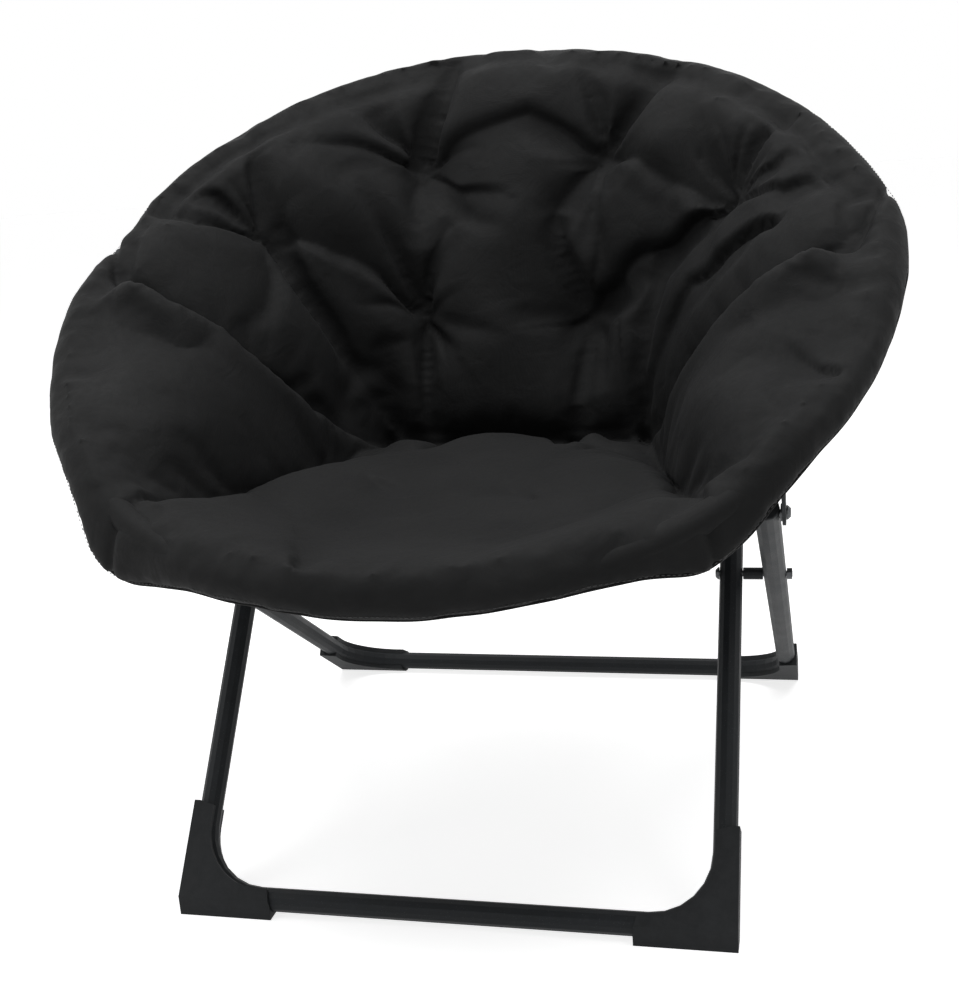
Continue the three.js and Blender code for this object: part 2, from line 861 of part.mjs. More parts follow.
function panel(...outline) {
  const shape = new THREE.Shape(drawnIn(outline));
  const height = 2 * (bowlDepth + coverRadius);
  const column = new THREE.ExtrudeGeometry(shape, { depth: height, bevelEnabled: false });
  return common(cover, column.translate(0, 0, -height / 2));
}

const beyond = 2 * coverRadius;

function plan(x, behind) {
  return new THREE.Vector2(x, behind);
}

// Where the line of a seat seam leaves the cover, well outside its rim.
function seamEnd(side) {
  const end = plan(side * creaseHalf, creaseBehind);
  const corner = plan(side * coverRadius * cos(seatCornerAngle), coverRadius * sin(seatCornerAngle));
  return corner.sub(end).setLength(beyond).add(end);
}

function backPanel() {
  return panel(
    plan(-beyond, hingeBehind),
    plan(beyond, hingeBehind),
    plan(beyond, beyond),
    plan(-beyond, beyond),
  );
}

function lowerBackPanel() {
  return panel(
    plan(-creaseHalf, creaseBehind),
    plan(creaseHalf, creaseBehind),
    plan(hingeX, hingeBehind),
    plan(-hingeX, hingeBehind),
  );
}

function seatPanel() {
  return panel(seamEnd(-1), seamEnd(1), plan(creaseHalf, creaseBehind), plan(-creaseHalf, creaseBehind));
}

function sidePanel() {
  const outside = seamEnd(1);
  return panel(
    plan(creaseHalf, creaseBehind),
    outside,
    plan(beyond, outside.y),
    plan(beyond, hingeBehind),
    plan(hingeX, hingeBehind),
  );
}

// The chair: each leg frame and each half ring is a group that moves as one

const outerLeg = new THREE.Group();
const innerLeg = new THREE.Group();
const frontHalf = new THREE.Group();
const rearHalf = new THREE.Group();

add(outerLeg, "outer_leg_frame", outerLegFrame(), paint());
add(innerLeg, "inner_leg_frame", innerLegFrame(), paint());
const fitRearFoot = (block) => fitFoot(block, outerBar, outerLegStations());
const fitFrontFoot = (block) => fitFoot(block, innerBar, innerLegStations());
bothSides(outerLeg, "rear_foot", () => footBlock(outerBar, outerUp, outerX), footPlastic, fitRearFoot);
bothSides(innerLeg, "front_foot", () => footBlock(innerBar, innerUp, innerX), footPlastic, fitFrontFoot);
bothSides(outerLeg, "outer_leg_plug", () => legPlug(outerLegStations()), footPlastic);
bothSides(innerLeg, "inner_leg_plug", () => legPlug(innerLegStations()), footPlastic);

bothSides(outerLeg, "cross_bolt", crossBolt, zinc);
bothSides(outerLeg, "cross_sleeve", crossSleeve, paint);
bothSides(outerLeg, "cross_nut", crossNut, zinc);

bothSides(outerLeg, "front_tab_bolt", frontTabBolt, zinc);
bothSides(outerLeg, "front_tab_washer", frontTabWasher, zinc);
bothSides(outerLeg, "front_tab_nut", frontTabNut, zinc);
bothSides(frontHalf, "front_tab", frontTab, paint);

bothSides(innerLeg, "rear_pivot_stud", rearLegStud, zinc);
bothSides(innerLeg, "rear_pivot_washer", rearWasher, zinc);
bothSides(rearHalf, "rear_tab", rearTab, paint);
bothSides(rearHalf, "rear_tab_bolt", rearTabBolt, zinc);

add(frontHalf, "front_ring_tube", hollowTube(frontRingStations()), paint());
add(rearHalf, "rear_ring_tube", hollowTube(rearRingStations()), paint());
bothSides(frontHalf, "hinge_leaf_front", frontLeaf, paint);
bothSides(rearHalf, "hinge_leaf_rear", rearLeaf, paint);
bothSides(frontHalf, "hinge_pin", hingePin, zinc);

add(frontHalf, "cover_seat_panel", seatPanel(), coverFabric());
add(frontHalf, "cover_lower_back_panel", lowerBackPanel(), coverFabric());
bothSides(frontHalf, "cover_side_panel", sidePanel, coverFabric);
add(rearHalf, "cover_back_panel", backPanel(), coverFabric());

const ring = new THREE.Group();
ring.add(frontHalf, rearHalf);
ring.rotation.x = ringTilt;
ring.position.copy(ringOrigin);
chair.add(outerLeg, innerLeg, ring);

// The origin goes to the floor under the middle of the chair's box.
const reach = new THREE.Box3().setFromObject(chair, true);
chair.position.set(0, -(reach.min.y + reach.max.y) / 2, -reach.min.z);

export default chair;
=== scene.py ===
import math
import bmesh
import bpy
import numpy as np
from mathutils import Matrix, Vector


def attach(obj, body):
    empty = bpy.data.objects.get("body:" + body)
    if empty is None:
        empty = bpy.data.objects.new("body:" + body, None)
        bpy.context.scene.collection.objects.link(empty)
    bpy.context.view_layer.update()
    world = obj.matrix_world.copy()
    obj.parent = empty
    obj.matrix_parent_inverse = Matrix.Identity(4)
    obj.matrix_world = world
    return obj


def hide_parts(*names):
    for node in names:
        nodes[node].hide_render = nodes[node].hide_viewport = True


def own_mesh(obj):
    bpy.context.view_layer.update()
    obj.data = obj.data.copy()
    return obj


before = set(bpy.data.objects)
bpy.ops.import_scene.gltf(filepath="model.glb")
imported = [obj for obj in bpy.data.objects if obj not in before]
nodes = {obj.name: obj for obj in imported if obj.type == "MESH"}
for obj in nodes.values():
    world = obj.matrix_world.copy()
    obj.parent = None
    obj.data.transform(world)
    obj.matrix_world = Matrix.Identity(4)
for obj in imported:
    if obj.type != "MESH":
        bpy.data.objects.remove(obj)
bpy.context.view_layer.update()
scene = bpy.context.scene

# ---------------------------------------------------------------- camera

CAMERA_PLACE = (0.3374, -1.319875, 0.7116)
CAMERA_TURN = (14.4295, 15.2629, -4.2895)  # yaw, pitch and roll in degrees
CAMERA_LENS = 50


def place_camera():
    """The photograph's viewpoint: to the right of the chair, a little above the seat."""
    yaw, pitch, roll = (math.radians(v) for v in CAMERA_TURN)
    look = Vector((-math.sin(yaw) * math.cos(pitch), math.cos(yaw) * math.cos(pitch), -math.sin(pitch)))
    level = look.cross(Vector((0, 0, 1))).normalized()
    above = level.cross(look)
    across = math.cos(roll) * level + math.sin(roll) * above
    upward = -math.sin(roll) * level + math.cos(roll) * above
    data = bpy.data.cameras.new("camera")
    data.lens = CAMERA_LENS
    data.sensor_width = 36
    data.sensor_fit = "AUTO"
    camera = bpy.data.objects.new("camera", data)
    scene.collection.objects.link(camera)
    camera.matrix_world = Matrix((
        (across.x, upward.x, -look.x, CAMERA_PLACE[0]),
        (across.y, upward.y, -look.y, CAMERA_PLACE[1]),
        (across.z, upward.z, -look.z, CAMERA_PLACE[2]),
        (0, 0, 0, 1)))
    scene.camera = camera


place_camera()

# ---------------------------------------------------------------- measures of the chair
# In mm. A place on the cover is given in the ring's own plane: x across, u behind its centre, w above it,
# r out from its centre, and angles from the right, the back being positive.

MM = 0.001
RING_TILT = math.radians(31.5)
RING_CENTRE = (0.0, -22.875, 575.0)
RING_RADIUS = 392
RING_TUBE = 11  # half the tube's thickness
RING_DROP = 18  # how far the tube's middle lies below the plane of the cover's top edge
HINGE_BEHIND = 100
CORNER = math.radians(-53.5)  # where the seat's seams meet the ring
BOWL_EDGE = 374
BOWL_EDGE_DROP = 14
BOWL_DEPTH = 300
SIDE_POWER, SEAT_POWER, BACK_POWER = 1.35, 0.68, 1.3  # how the bowl falls from the ring: below 1 it falls early
BOWL_LEAD = 0.03
CREASE_BEHIND = 54
CREASE_HALF = 145
FRONT_TAB = math.radians(-38.5)
REAR_TAB = math.radians(36.0)
SEAM_HALF = 4  # half the cover's thickness at a seam
PAD_ABOVE, PAD_BELOW = 16, 8  # what the padding adds to it, above and below
SLEEVE_ENDS = 50  # how far the sleeve ends from the hinges
SEAM_OVERRUN = 445  # the seat's seams run on over the rim to this radius


def ease(value, low, high):
    """Zero below low, one above high, smooth between."""
    t = np.clip((value - low) / (high - low), 0, 1)
    return t * t * (3 - 2 * t)


def to_row(points):
    """From the ring's own plane, across, behind and above in mm, to the chair's frame in metres."""
    p = np.asarray(points, float)
    c, s = math.cos(RING_TILT), math.sin(RING_TILT)
    return np.stack([
        RING_CENTRE[0] + p[..., 0],
        RING_CENTRE[1] + p[..., 1] * c - p[..., 2] * s,
        RING_CENTRE[2] + p[..., 1] * s + p[..., 2] * c], -1) * MM


def turned_all(vectors):
    c, s = math.cos(RING_TILT), math.sin(RING_TILT)
    return np.stack([
        vectors[:, 0],
        vectors[:, 1] * c - vectors[:, 2] * s,
        vectors[:, 1] * s + vectors[:, 2] * c], -1)


def mesh_object(name, points, faces, smooth=True):
    mesh = bpy.data.meshes.new(name)
    mesh.from_pydata([tuple(p) for p in points], [], [tuple(f) for f in faces])
    mesh.update()
    made = bpy.data.objects.new(name, mesh)
    scene.collection.objects.link(made)
    if smooth:
        mesh.shade_smooth()
    return made


def coordinates(mesh):
    co = np.empty(len(mesh.vertices) * 3)
    mesh.vertices.foreach_get("co", co)
    return co.reshape(-1, 3)


def set_coordinates(mesh, points):
    mesh.vertices.foreach_set("co", np.asarray(points, float).ravel())
    mesh.update()


def plain_mesh(made, name):
    """The object's evaluated shape as a mesh of its own, in place of the object."""
    graph = bpy.context.evaluated_depsgraph_get()
    mesh = bpy.data.meshes.new_from_object(made.evaluated_get(graph))
    fresh = bpy.data.objects.new(name, mesh)
    scene.collection.objects.link(fresh)
    bpy.data.objects.remove(made)
    return fresh

# ---------------------------------------------------------------- finishes


class Finish:
    """A material with its nodes added by kind."""

    def __init__(self, name):
        self.material = bpy.data.materials.new(name)
        self.material.use_nodes = True
        self.nodes = self.material.node_tree.nodes
        self.links = self.material.node_tree.links
        self.shader = self.nodes["Principled BSDF"]

    def node(self, kind, **values):
        made = self.nodes.new(kind)
        for key, value in values.items():
            socket = made.inputs.get(key.replace("_", " "))
            if socket is not None:
                socket.default_value = value
            else:
                setattr(made, key, value)
        return made

    def link(self, source, target):
        self.links.new(source, target)

    def ramp(self, source, stops):
        made = self.nodes.new("ShaderNodeValToRGB")
        element = made.color_ramp.elements
        while len(element) < len(stops):
            element.new(0.5)
        for item, (place, colour) in zip(element, stops):
            item.position = place
            item.color = colour
        self.link(source, made.inputs["Fac"])
        return made.outputs["Color"]

    def bump(self, height, strength, distance, below=None):
        made = self.node("ShaderNodeBump", Strength=strength, Distance=distance)
        self.link(height, made.inputs["Height"])
        if below is not None:
            self.link(below, made.inputs["Normal"])
        return made.outputs["Normal"]


def grey(level, blue=0.0):
    return (level, level * (1 + blue * 0.5), level * (1 + blue), 1)


def object_coordinates(finish):
    return finish.nodes.new("ShaderNodeTexCoord").outputs["Object"]


def painted_steel():
    """Black powder coat with its fine grain, thinner and lighter where it has rubbed, and small bright flecks of
    painted glint.
    """
    f = Finish("powder_coat")
    place = object_coordinates(f)
    grain = f.node("ShaderNodeTexNoise", Scale=900.0, Detail=3.0, Roughness=0.6)
    cloud = f.node("ShaderNodeTexNoise", Scale=26.0, Detail=6.0, Roughness=0.65)
    glint_cells = f.node("ShaderNodeTexVoronoi", Scale=420.0)
    for texture in (grain, cloud, glint_cells):
        f.link(place, texture.inputs["Vector"])
    coats = [(0.3, grey(0.011, 0.25)), (0.62, grey(0.019, 0.25)), (0.8, grey(0.032, 0.2))]
    body = f.ramp(cloud.outputs["Fac"], coats)
    # painted glints: small bright flecks added to the coat's colour
    painted_glints = f.ramp(glint_cells.outputs["Distance"], [(0.05, grey(0.13, 0.1)), (0.16, grey(0.0))])
    mix = f.node("ShaderNodeMix", data_type="RGBA", blend_type="ADD")
    mix.inputs["Factor"].default_value = 0.35
    f.link(body, mix.inputs["A"])
    f.link(painted_glints, mix.inputs["B"])
    f.link(mix.outputs["Result"], f.shader.inputs["Base Color"])
    rough = f.ramp(cloud.outputs["Fac"], [(0.3, grey(0.50)), (0.75, grey(0.64))])
    f.link(rough, f.shader.inputs["Roughness"])
    low = f.bump(cloud.outputs["Fac"], 0.12, 0.002)
    f.link(f.bump(grain.outputs["Fac"], 0.25, 0.0006, low), f.shader.inputs["Normal"])
    f.shader.inputs["Specular IOR Level"].default_value = 0.2
    return f.material


def moulded_plastic():
    """Matte black plastic with a spark-eroded mould's grain and a little dust low down."""
    f = Finish("moulded_plastic")
    place = object_coordinates(f)
    grain = f.node("ShaderNodeTexNoise", Scale=1400.0, Detail=2.0, Roughness=0.5)
    scuff = f.node("ShaderNodeTexNoise", Scale=60.0, Detail=8.0, Roughness=0.7)
    for texture in (grain, scuff):
        f.link(place, texture.inputs["Vector"])
    dust = [(0.35, grey(0.022, 0.12)), (0.7, grey(0.036, 0.12)), (0.85, grey(0.06, 0.1))]
    f.link(f.ramp(scuff.outputs["Fac"], dust), f.shader.inputs["Base Color"])
    f.link(f.ramp(scuff.outputs["Fac"], [(0.3, grey(0.58)), (0.8, grey(0.72))]), f.shader.inputs["Roughness"])
    low = f.bump(scuff.outputs["Fac"], 0.08, 0.002)
    f.link(f.bump(grain.outputs["Fac"], 0.3, 0.0004, low), f.shader.inputs["Normal"])
    f.shader.inputs["Specular IOR Level"].default_value = 0.16
    return f.material


def dark_zinc():
    """Blackened zinc plate of the bolts and hinges, brighter where a spanner has turned it."""
    f = Finish("dark_zinc_plate")
    place = object_coordinates(f)
    cloud = f.node("ShaderNodeTexNoise", Scale=160.0, Detail=6.0, Roughness=0.65)
    f.link(place, cloud.inputs["Vector"])
    plating = [(0.3, grey(0.05, 0.1)), (0.7, grey(0.12, 0.08)), (0.9, grey(0.22, 0.05))]
    f.link(f.ramp(cloud.outputs["Fac"], plating), f.shader.inputs["Base Color"])
    f.link(f.ramp(cloud.outputs["Fac"], [(0.3, grey(0.30)), (0.8, grey(0.5))]), f.shader.inputs["Roughness"])
    f.link(f.bump(cloud.outputs["Fac"], 0.15, 0.0006), f.shader.inputs["Normal"])
    f.shader.inputs["Metallic"].default_value = 0.9
    return f.material


WEAVE_SCALE = 300


def woven_cloth(name, base=0.019):
    """Black polyester: a plain weave of coated yarn, a soft sheen and small soft creases."""
    f = Finish(name)
    weave_map = f.node("ShaderNodeUVMap", uv_map="weave").outputs["UV"]
    place = object_coordinates(f)
    warp, weft = (
        f.node("ShaderNodeTexWave", wave_type="BANDS", bands_direction=way, Scale=1.0, Distortion=0.6, Detail=2.0)
        for way in "XY")
    thread = f.node("ShaderNodeMapping")
    thread.inputs["Scale"].default_value = (WEAVE_SCALE,) * 3
    f.link(weave_map, thread.inputs["Vector"])
    for texture in (warp, weft):
        f.link(thread.outputs["Vector"], texture.inputs["Vector"])
    weave = f.node("ShaderNodeMath", operation="MULTIPLY")
    f.link(warp.outputs["Fac"], weave.inputs[0])
    f.link(weft.outputs["Fac"], weave.inputs[1])
    crease = f.node("ShaderNodeTexNoise", Scale=34.0, Detail=5.0, Roughness=0.55, Distortion=0.8)
    slub = f.node("ShaderNodeTexNoise", Scale=160.0, Detail=4.0, Roughness=0.6)
    shade = f.node("ShaderNodeTexNoise", Scale=9.0, Detail=3.0, Roughness=0.5)
    for texture in (crease, slub, shade):
        f.link(place, texture.inputs["Vector"])
    tone = f.ramp(shade.outputs["Fac"], [(0.3, grey(base * 0.86, 0.03)), (0.7, grey(base * 1.15, 0.02))])
    yarn = f.ramp(weave.outputs["Value"], [(0.0, grey(0.55)), (0.8, grey(1.0))])
    mix = f.node("ShaderNodeMix", data_type="RGBA", blend_type="MULTIPLY")
    mix.inputs["Factor"].default_value = 0.3
    f.link(tone, mix.inputs["A"])
    f.link(yarn, mix.inputs["B"])
    f.link(mix.outputs["Result"], f.shader.inputs["Base Color"])
    f.link(f.ramp(slub.outputs["Fac"], [(0.3, grey(0.56)), (0.7, grey(0.68))]), f.shader.inputs["Roughness"])
    low = f.bump(crease.outputs["Fac"], 0.35, 0.004)
    mid = f.bump(slub.outputs["Fac"], 0.12, 0.0012, low)
    f.link(f.bump(weave.outputs["Value"], 0.15, 0.0004, mid), f.shader.inputs["Normal"])
    f.shader.inputs["Sheen Weight"].default_value = 0.015
    f.shader.inputs["Sheen Roughness"].default_value = 0.4
    f.shader.inputs["Sheen Tint"].default_value = (0.5, 0.5, 0.52, 1)
    f.shader.inputs["Specular IOR Level"].default_value = 0.06
    return f.material


def sewing_thread():
    """Black spun polyester thread, twisted."""
    f = Finish("sewing_thread")
    twist = f.node("ShaderNodeTexWave", Scale=900.0, Distortion=1.5, Detail=1.0)
    f.link(object_coordinates(f), twist.inputs["Vector"])
    strands = [(0.2, grey(0.010)), (0.8, grey(0.022))]
    f.link(f.ramp(twist.outputs["Fac"], strands), f.shader.inputs["Base Color"])
    f.link(f.bump(twist.outputs["Fac"], 0.4, 0.0003), f.shader.inputs["Normal"])
    f.shader.inputs["Roughness"].default_value = 0.55
    return f.material


STEEL = painted_steel()
PLASTIC = moulded_plastic()
ZINC = dark_zinc()
CLOTH = woven_cloth("black_polyester")
# the binding's cloth is darker than the cover's: painted shade for the dark band along the rim's edge
BINDING_PAINTED_SHADE = woven_cloth("black_binding_painted_shade", 0.008)
THREAD = sewing_thread()

# ---------------------------------------------------------------- the bowl of the cover


def bowl_power(angle):
    """How the bowl falls at an angle: early under the seat, late at the sides and the back."""
    rise = np.sin(angle)
    front = ease(-rise, 0, -math.sin(CORNER))
    ahead = SIDE_POWER + (SEAT_POWER - SIDE_POWER) * front
    return np.where(rise > 0, SIDE_POWER + (BACK_POWER - SIDE_POWER) * rise, ahead)


def bowl(angle, share):
    """The middle of the padding: share 0 at the ring, 1 at the crease between seat and back."""
    crease = CREASE_HALF * np.clip(np.cos(angle) / math.cos(CORNER), -1, 1)
    across = BOWL_EDGE * np.cos(angle) * (1 - share) + crease * share
    behind = BOWL_EDGE * np.sin(angle) * (1 - share) + CREASE_BEHIND * share
    power = bowl_power(angle)
    start = BOWL_LEAD ** power
    fall = ((share + BOWL_LEAD) ** power - start) / ((1 + BOWL_LEAD) ** power - start)
    return np.stack([across, behind, -BOWL_EDGE_DROP - (BOWL_DEPTH - BOWL_EDGE_DROP) * fall], -1)


def bowl_normal(angle, share):
    """The direction square to the bowl, upwards."""
    step = 1e-3
    inward = bowl(angle, np.minimum(share + step, 1)) - bowl(angle, np.maximum(share - step, 0))
    onward = bowl(angle + step, share) - bowl(angle - step, share)
    normal = np.cross(onward, inward)
    length = np.linalg.norm(normal, axis=-1, keepdims=True)
    return np.where(length > 1e-9, normal / np.maximum(length, 1e-9), np.array([0, 0, 1.0]))


def line_distance(x, u, path):
    """How far points lie from a polyline, how far along it they are, and on which side."""
    best = np.full(np.shape(x), 1e9)
    along, side = np.zeros(np.shape(x)), np.zeros(np.shape(x))
    lengths = [math.dist(a, b) for a, b in zip(path, path[1:])]
    total, passed = sum(lengths), 0
    for (a, b), length in zip(zip(path, path[1:]), lengths):
        dx, du = (b[0] - a[0]) / length, (b[1] - a[1]) / length
        t = np.clip((x - a[0]) * dx + (u - a[1]) * du, 0, length)
        d = np.hypot(x - a[0] - t * dx, u - a[1] - t * du)
        nearer = d < best
        best = np.where(nearer, d, best)
        side = np.where(nearer, np.sign((u - a[1]) * dx - (x - a[0]) * du), side)
        along = np.where(nearer, (passed + t) / total, along)
        passed += length
    return best, along, side


# the seams of the right half, mirrored for the left one, each with how far off the padding is full
FRONT_CORNER = (SEAM_OVERRUN * math.cos(CORNER), SEAM_OVERRUN * math.sin(CORNER))
CREASE_END = (CREASE_HALF, CREASE_BEHIND)
SEAT_SEAM = [FRONT_CORNER, CREASE_END]
SIDE_SEAM = [(402, 104), (386, 64), (366, 16), (324, -16), (272, -10), (216, 8), (170, 30), CREASE_END]
CREASE = [(0, CREASE_BEHIND), CREASE_END]
SEAMS = [(SEAT_SEAM, 26), (SIDE_SEAM, 20), (CREASE, 40)]
PANEL_RUN_OUT = 75  # the side panels thin out this far before the seat's seams

TUFTS = [(-99, 270), (107, 268), (240, 168), (-252, 146), (-101, 148), (87, 146)]
# valleys that run out from the tufts, and a few on the seat and the right side: points, depth and half width
FOLDS = [
    ([(-99, 270), (-80, 325), (-60, 392)], 20, 24),
    ([(-99, 270), (-186, 310)], 14, 13),
    ([(-99, 270), (-165, 262), (-226, 248)], 14, 15),
    ([(-99, 270), (-60, 240), (0, 226)], 16, 12),
    ([(107, 268), (150, 300), (190, 332)], 18, 19),
    ([(107, 268), (83, 347)], 15, 17),
    ([(107, 268), (24, 298), (-37, 286), (-99, 270)], 13, 18),
    ([(107, 268), (60, 220), (58, 189), (87, 146)], 15, 20),
    ([(107, 268), (180, 206), (240, 168)], 12, 17),
    ([(240, 168), (214, 215), (214, 262)], 15, 19),
    ([(240, 168), (285, 195), (327, 226)], 15, 11),
    ([(240, 168), (290, 150), (335, 170)], 12, 13),
    ([(240, 168), (150, 165), (87, 146)], 17, 19),
    ([(-101, 148), (-157, 216)], 15, 15),
    ([(-101, 148), (-59, 230)], 13, 13),
    ([(-101, 148), (-62, 110)], 12, 11),
    ([(-101, 148), (-100, 68)], 14, 12),
    ([(-101, 148), (-170, 160), (-252, 146)], 13, 16),
    ([(87, 146), (68, 68)], 15, 15),
    ([(87, 146), (117, 130), (125, 68)], 13, 12),
    ([(289, 84), (202, 108), (150, 70)], 17, 14),
    ([(240, 168), (300, 112), (370, 118)], 13, 12),
    ([(-252, 146), (-300, 158), (-353, 152)], 14, 16),
    ([(-252, 146), (-268, 195), (-277, 244)], 13, 17),
    ([(-252, 146), (-215, 110), (-160, 74)], 17, 16),
    ([(-252, 146), (-309, 112), (-379, 116)], 15, 13),
    ([(-72, 50), (-74, 5), (-96, -22)], 10, 11),
    ([(67, 50), (68, 4)], 10, 11),
    ([(134, -20), (103, -12), (88, -50)], 8, 9),
    ([(-84, -136), (-43, -165)], 5, 24),
    ([(72, -170), (33, -131)], 5, 22),
    ([(-60, -392), (-72, -350), (-98, -304)], 8, 17),
    ([(380, -182), (335, -150), (302, -109)], 11, 10),
]

# dents, and bumps where the depth is below zero: centre, half width across and behind, depth
DENTS = [
    (-72, 14, 12, 30, 12), (68, 18, 11, 26, 12), (-96, -20, 24, 9, 6), (103, -14, 24, 8, 9),
    (96, 26, 14, 20, -8), (-10, 18, 34, 30, -6), (-118, 16, 18, 22, -5), (-60, -150, 34, 20, 5),
    (50, -150, 30, 20, 5), (-150, -90, 40, 50, -4), (130, -120, 34, 60, -4), (0, -240, 60, 34, -4),
    (240, -120, 75, 90, -12), (-262, -125, 75, 100, -12), (330, -60, 26, 60, 4), (-330, -40, 30, 50, 4),
    (0, 200, 38, 26, -5), (-30, 110, 30, 34, -4), (170, 240, 26, 22, -5), (-175, 200, 28, 24, -5),
]


def seam_fullness(x, u):
    """0 at a seam, 1 where the padding is at its full thickness."""
    full = np.ones(np.shape(x))
    for path, reach in SEAMS:
        d, _, side = line_distance(np.abs(x), u, path)
        wide = np.where((side < 0) & (path is SEAT_SEAM), PANEL_RUN_OUT, reach)
        full = np.minimum(full, ease(d, 0, wide) ** 0.8)
    return full


def seam_distance(x, u):
    """How far points lie from the nearest seam."""
    return np.min([line_distance(np.abs(x), u, path)[0] for path, _ in SEAMS], axis=0)


def side_ridge(x, u):
    """A raised lip where the side panels end, and a valley behind it where the back panel starts."""
    d, along, _ = line_distance(np.abs(x), u, SIDE_SEAM)
    seam = np.interp(-np.abs(x), [-p[0] for p in SIDE_SEAM], [p[1] for p in SIDE_SEAM])
    high = np.interp(along, [0, 0.12, 0.35, 0.7, 1], [0, 16, 30, 20, 6])
    lip = high * np.exp(-((d - 15) / 26) ** 2) * ease(d, 0, 9)
    valley = 0.5 * high * np.exp(-((d - 4) / 34) ** 2)
    return np.where(u < seam, lip, -valley)


def fold_depth(x, u):
    """How far the folds and tufts draw the surface in."""
    depth = np.zeros(np.shape(x))
    for number, (path, deep, half) in enumerate(FOLDS):
        d, along, side = line_distance(x, u, path)
        taper = 1 - 0.75 * along if path[-1] not in TUFTS else 1 - 1.6 * along * (1 - along)
        wide = half * (0.6 + 0.9 * along) * (1 + 0.45 * side * (-1) ** number)
        depth = np.maximum(depth, deep * taper * np.exp(-(d / wide) ** 1.4))
    for tx, tu in TUFTS:
        d = np.hypot(x - tx, u - tu)
        depth = np.maximum(depth, 17 * np.exp(-(d / 24) ** 1.3))
    return depth


# the cover's edge, all round from the right: angle in degrees, radius, and how far its underside hangs down
EDGE = [
    (-12, 409, 30), (-20, 409, 30), (-27, 410, 29), (-34, 409, 28), (-40, 411, 31), (-45, 414, 40),
    (-49, 418, 51), (-53, 422, 58), (-56, 418, 49), (-60, 412, 36), (-66, 409, 30), (-80, 409, 28),
    (-93, 409, 28), (-101, 410, 29), (-107, 410, 30), (-113, 411, 34), (-118, 415, 41), (-122, 421, 50),
    (-126, 430, 58), (-129, 434, 56), (-132, 430, 46), (-136, 421, 34), (-141, 414, 29), (-150, 414, 29),
    (-163, 412, 30), (-179, 415, 31), (-187, 407, 31), (-193, 401, 31), (-197, 402, 31), (-201, 407, 31),
    (-217, 415, 31), (-232, 419, 31), (-248, 419, 31), (-262, 411, 31), (-276, 410, 31), (-286, 408, 31),
    (-296, 407, 31), (-308, 412, 31), (-322, 411, 31), (-338, 412, 31), (-351, 419, 31), (-357, 415, 31),
]


def edge_of(angle):
    """Radius of the cover's edge at an angle round the ring, and the height of its underside."""
    turn = np.degrees(np.asarray(angle, float)) % 360
    table = sorted([(a % 360, r, h) for a, r, h in EDGE])
    a = [table[-1][0] - 360] + [t[0] for t in table] + [table[0][0] + 360]
    r = [table[-1][1]] + [t[1] for t in table] + [table[0][1]]
    h = [table[-1][2]] + [t[2] for t in table] + [table[0][2]]
    near = np.stack([turn - 2, turn - 1, turn, turn + 1, turn + 2])
    share = np.array([0.12, 0.22, 0.32, 0.22, 0.12])
    radius = np.tensordot(share, np.interp(near, a, r), 1)
    hang = np.tensordot(share, np.interp(near, a, h), 1)
    return radius, -hang


TUBE_CLEARANCE = 14  # the cover keeps this far from the middle of the ring tube
CORNER_DIP, CORNER_SPREAD = 30, 8.5  # how far the rim droops at the seat's corners, over how many degrees


def pad_section(angle, rows):
    """One closed section of the padding, from inside the ring tube over the rim to the crease and back."""
    share = np.linspace(0, 1, rows)
    middle = bowl(np.full(rows, angle), share)
    normal = bowl_normal(np.full(rows, angle), share)
    normal[-1] = (0, 0, 1)
    x, u = middle[:, 0], middle[:, 1]
    full = seam_fullness(x, u)
    front = ease(-np.sin(angle), 0.5, 0.85)
    ridge = side_ridge(x, u) * ease(share, 0, 0.12)
    side = ease(np.abs(math.cos(angle)), 0.56, 0.8)
    fill = 10 * (1 - front) * (ease(share, -0.02, 0.1) - ease(share, 0.12, 0.42))
    fill = fill * (1 - side) + 24 * side * (ease(share, -0.02, 0.12) - ease(share, 0.3, 0.75))
    fill = fill + 9 * front * ease(share, 0.2, 0.5) * (1 - ease(share, 0.75, 1))
    top = SEAM_HALF + (PAD_ABOVE - 5 * front) * full + ridge
    under = SEAM_HALF + PAD_BELOW * full * ease(share, 0, 0.3) + np.maximum(-ridge, 0)
    drawn = fold_depth(x, u) * ease(share, -0.05, 0.08) * ease(full, 0, 0.6)
    upper = middle + normal * (top - drawn)[:, None]
    upper[:, 2] += fill * full - 9 * (1 - ease(share, 0, 0.06)) * full
    lower = middle - normal * (under + 0.35 * drawn)[:, None]
    lower[:, 2] += 0.8 * fill * full * (1 - 0.7 * front)
    radius, height = edge_of(angle)
    c, s = math.cos(angle), math.sin(angle)
    edge_full = seam_fullness(np.array([radius * 0.97 * c]), np.array([radius * 0.97 * s]))[0]
    crest = 1.0 + 7 * edge_full

    def at(r, w):
        tube = math.sqrt(max(TUBE_CLEARANCE ** 2 - (r - RING_RADIUS) ** 2, 0)) - RING_DROP
        over_tube = w > -30 and abs(r - RING_RADIUS) < TUBE_CLEARANCE
        return np.array([r * c, r * s, max(w, tube) if over_tube else w])

    off = abs(abs(math.degrees(angle) % 360 - 270) - 90 - math.degrees(CORNER))
    dip = CORNER_DIP * math.exp(-(off / CORNER_SPREAD) ** 2)
    rim = [at(379, -24), at(385, -32), at(394, -34),
           at(radius - 8, height), at(radius - 3, height + 2), at(radius, height + 9),
           at(radius + 0.5, -20 - 0.75 * dip), at(radius - 1.5, -12 - 0.95 * dip), at(radius - 5.5, -5 - dip),
           at(radius - 11, 0.2 * crest - dip), at(radius - 19, 0.75 * crest - 0.7 * dip),
           at(radius - 29, crest - 0.4 * dip)]
    return np.vstack([rim, upper, lower[::-1]]), len(rim) + rows - 1


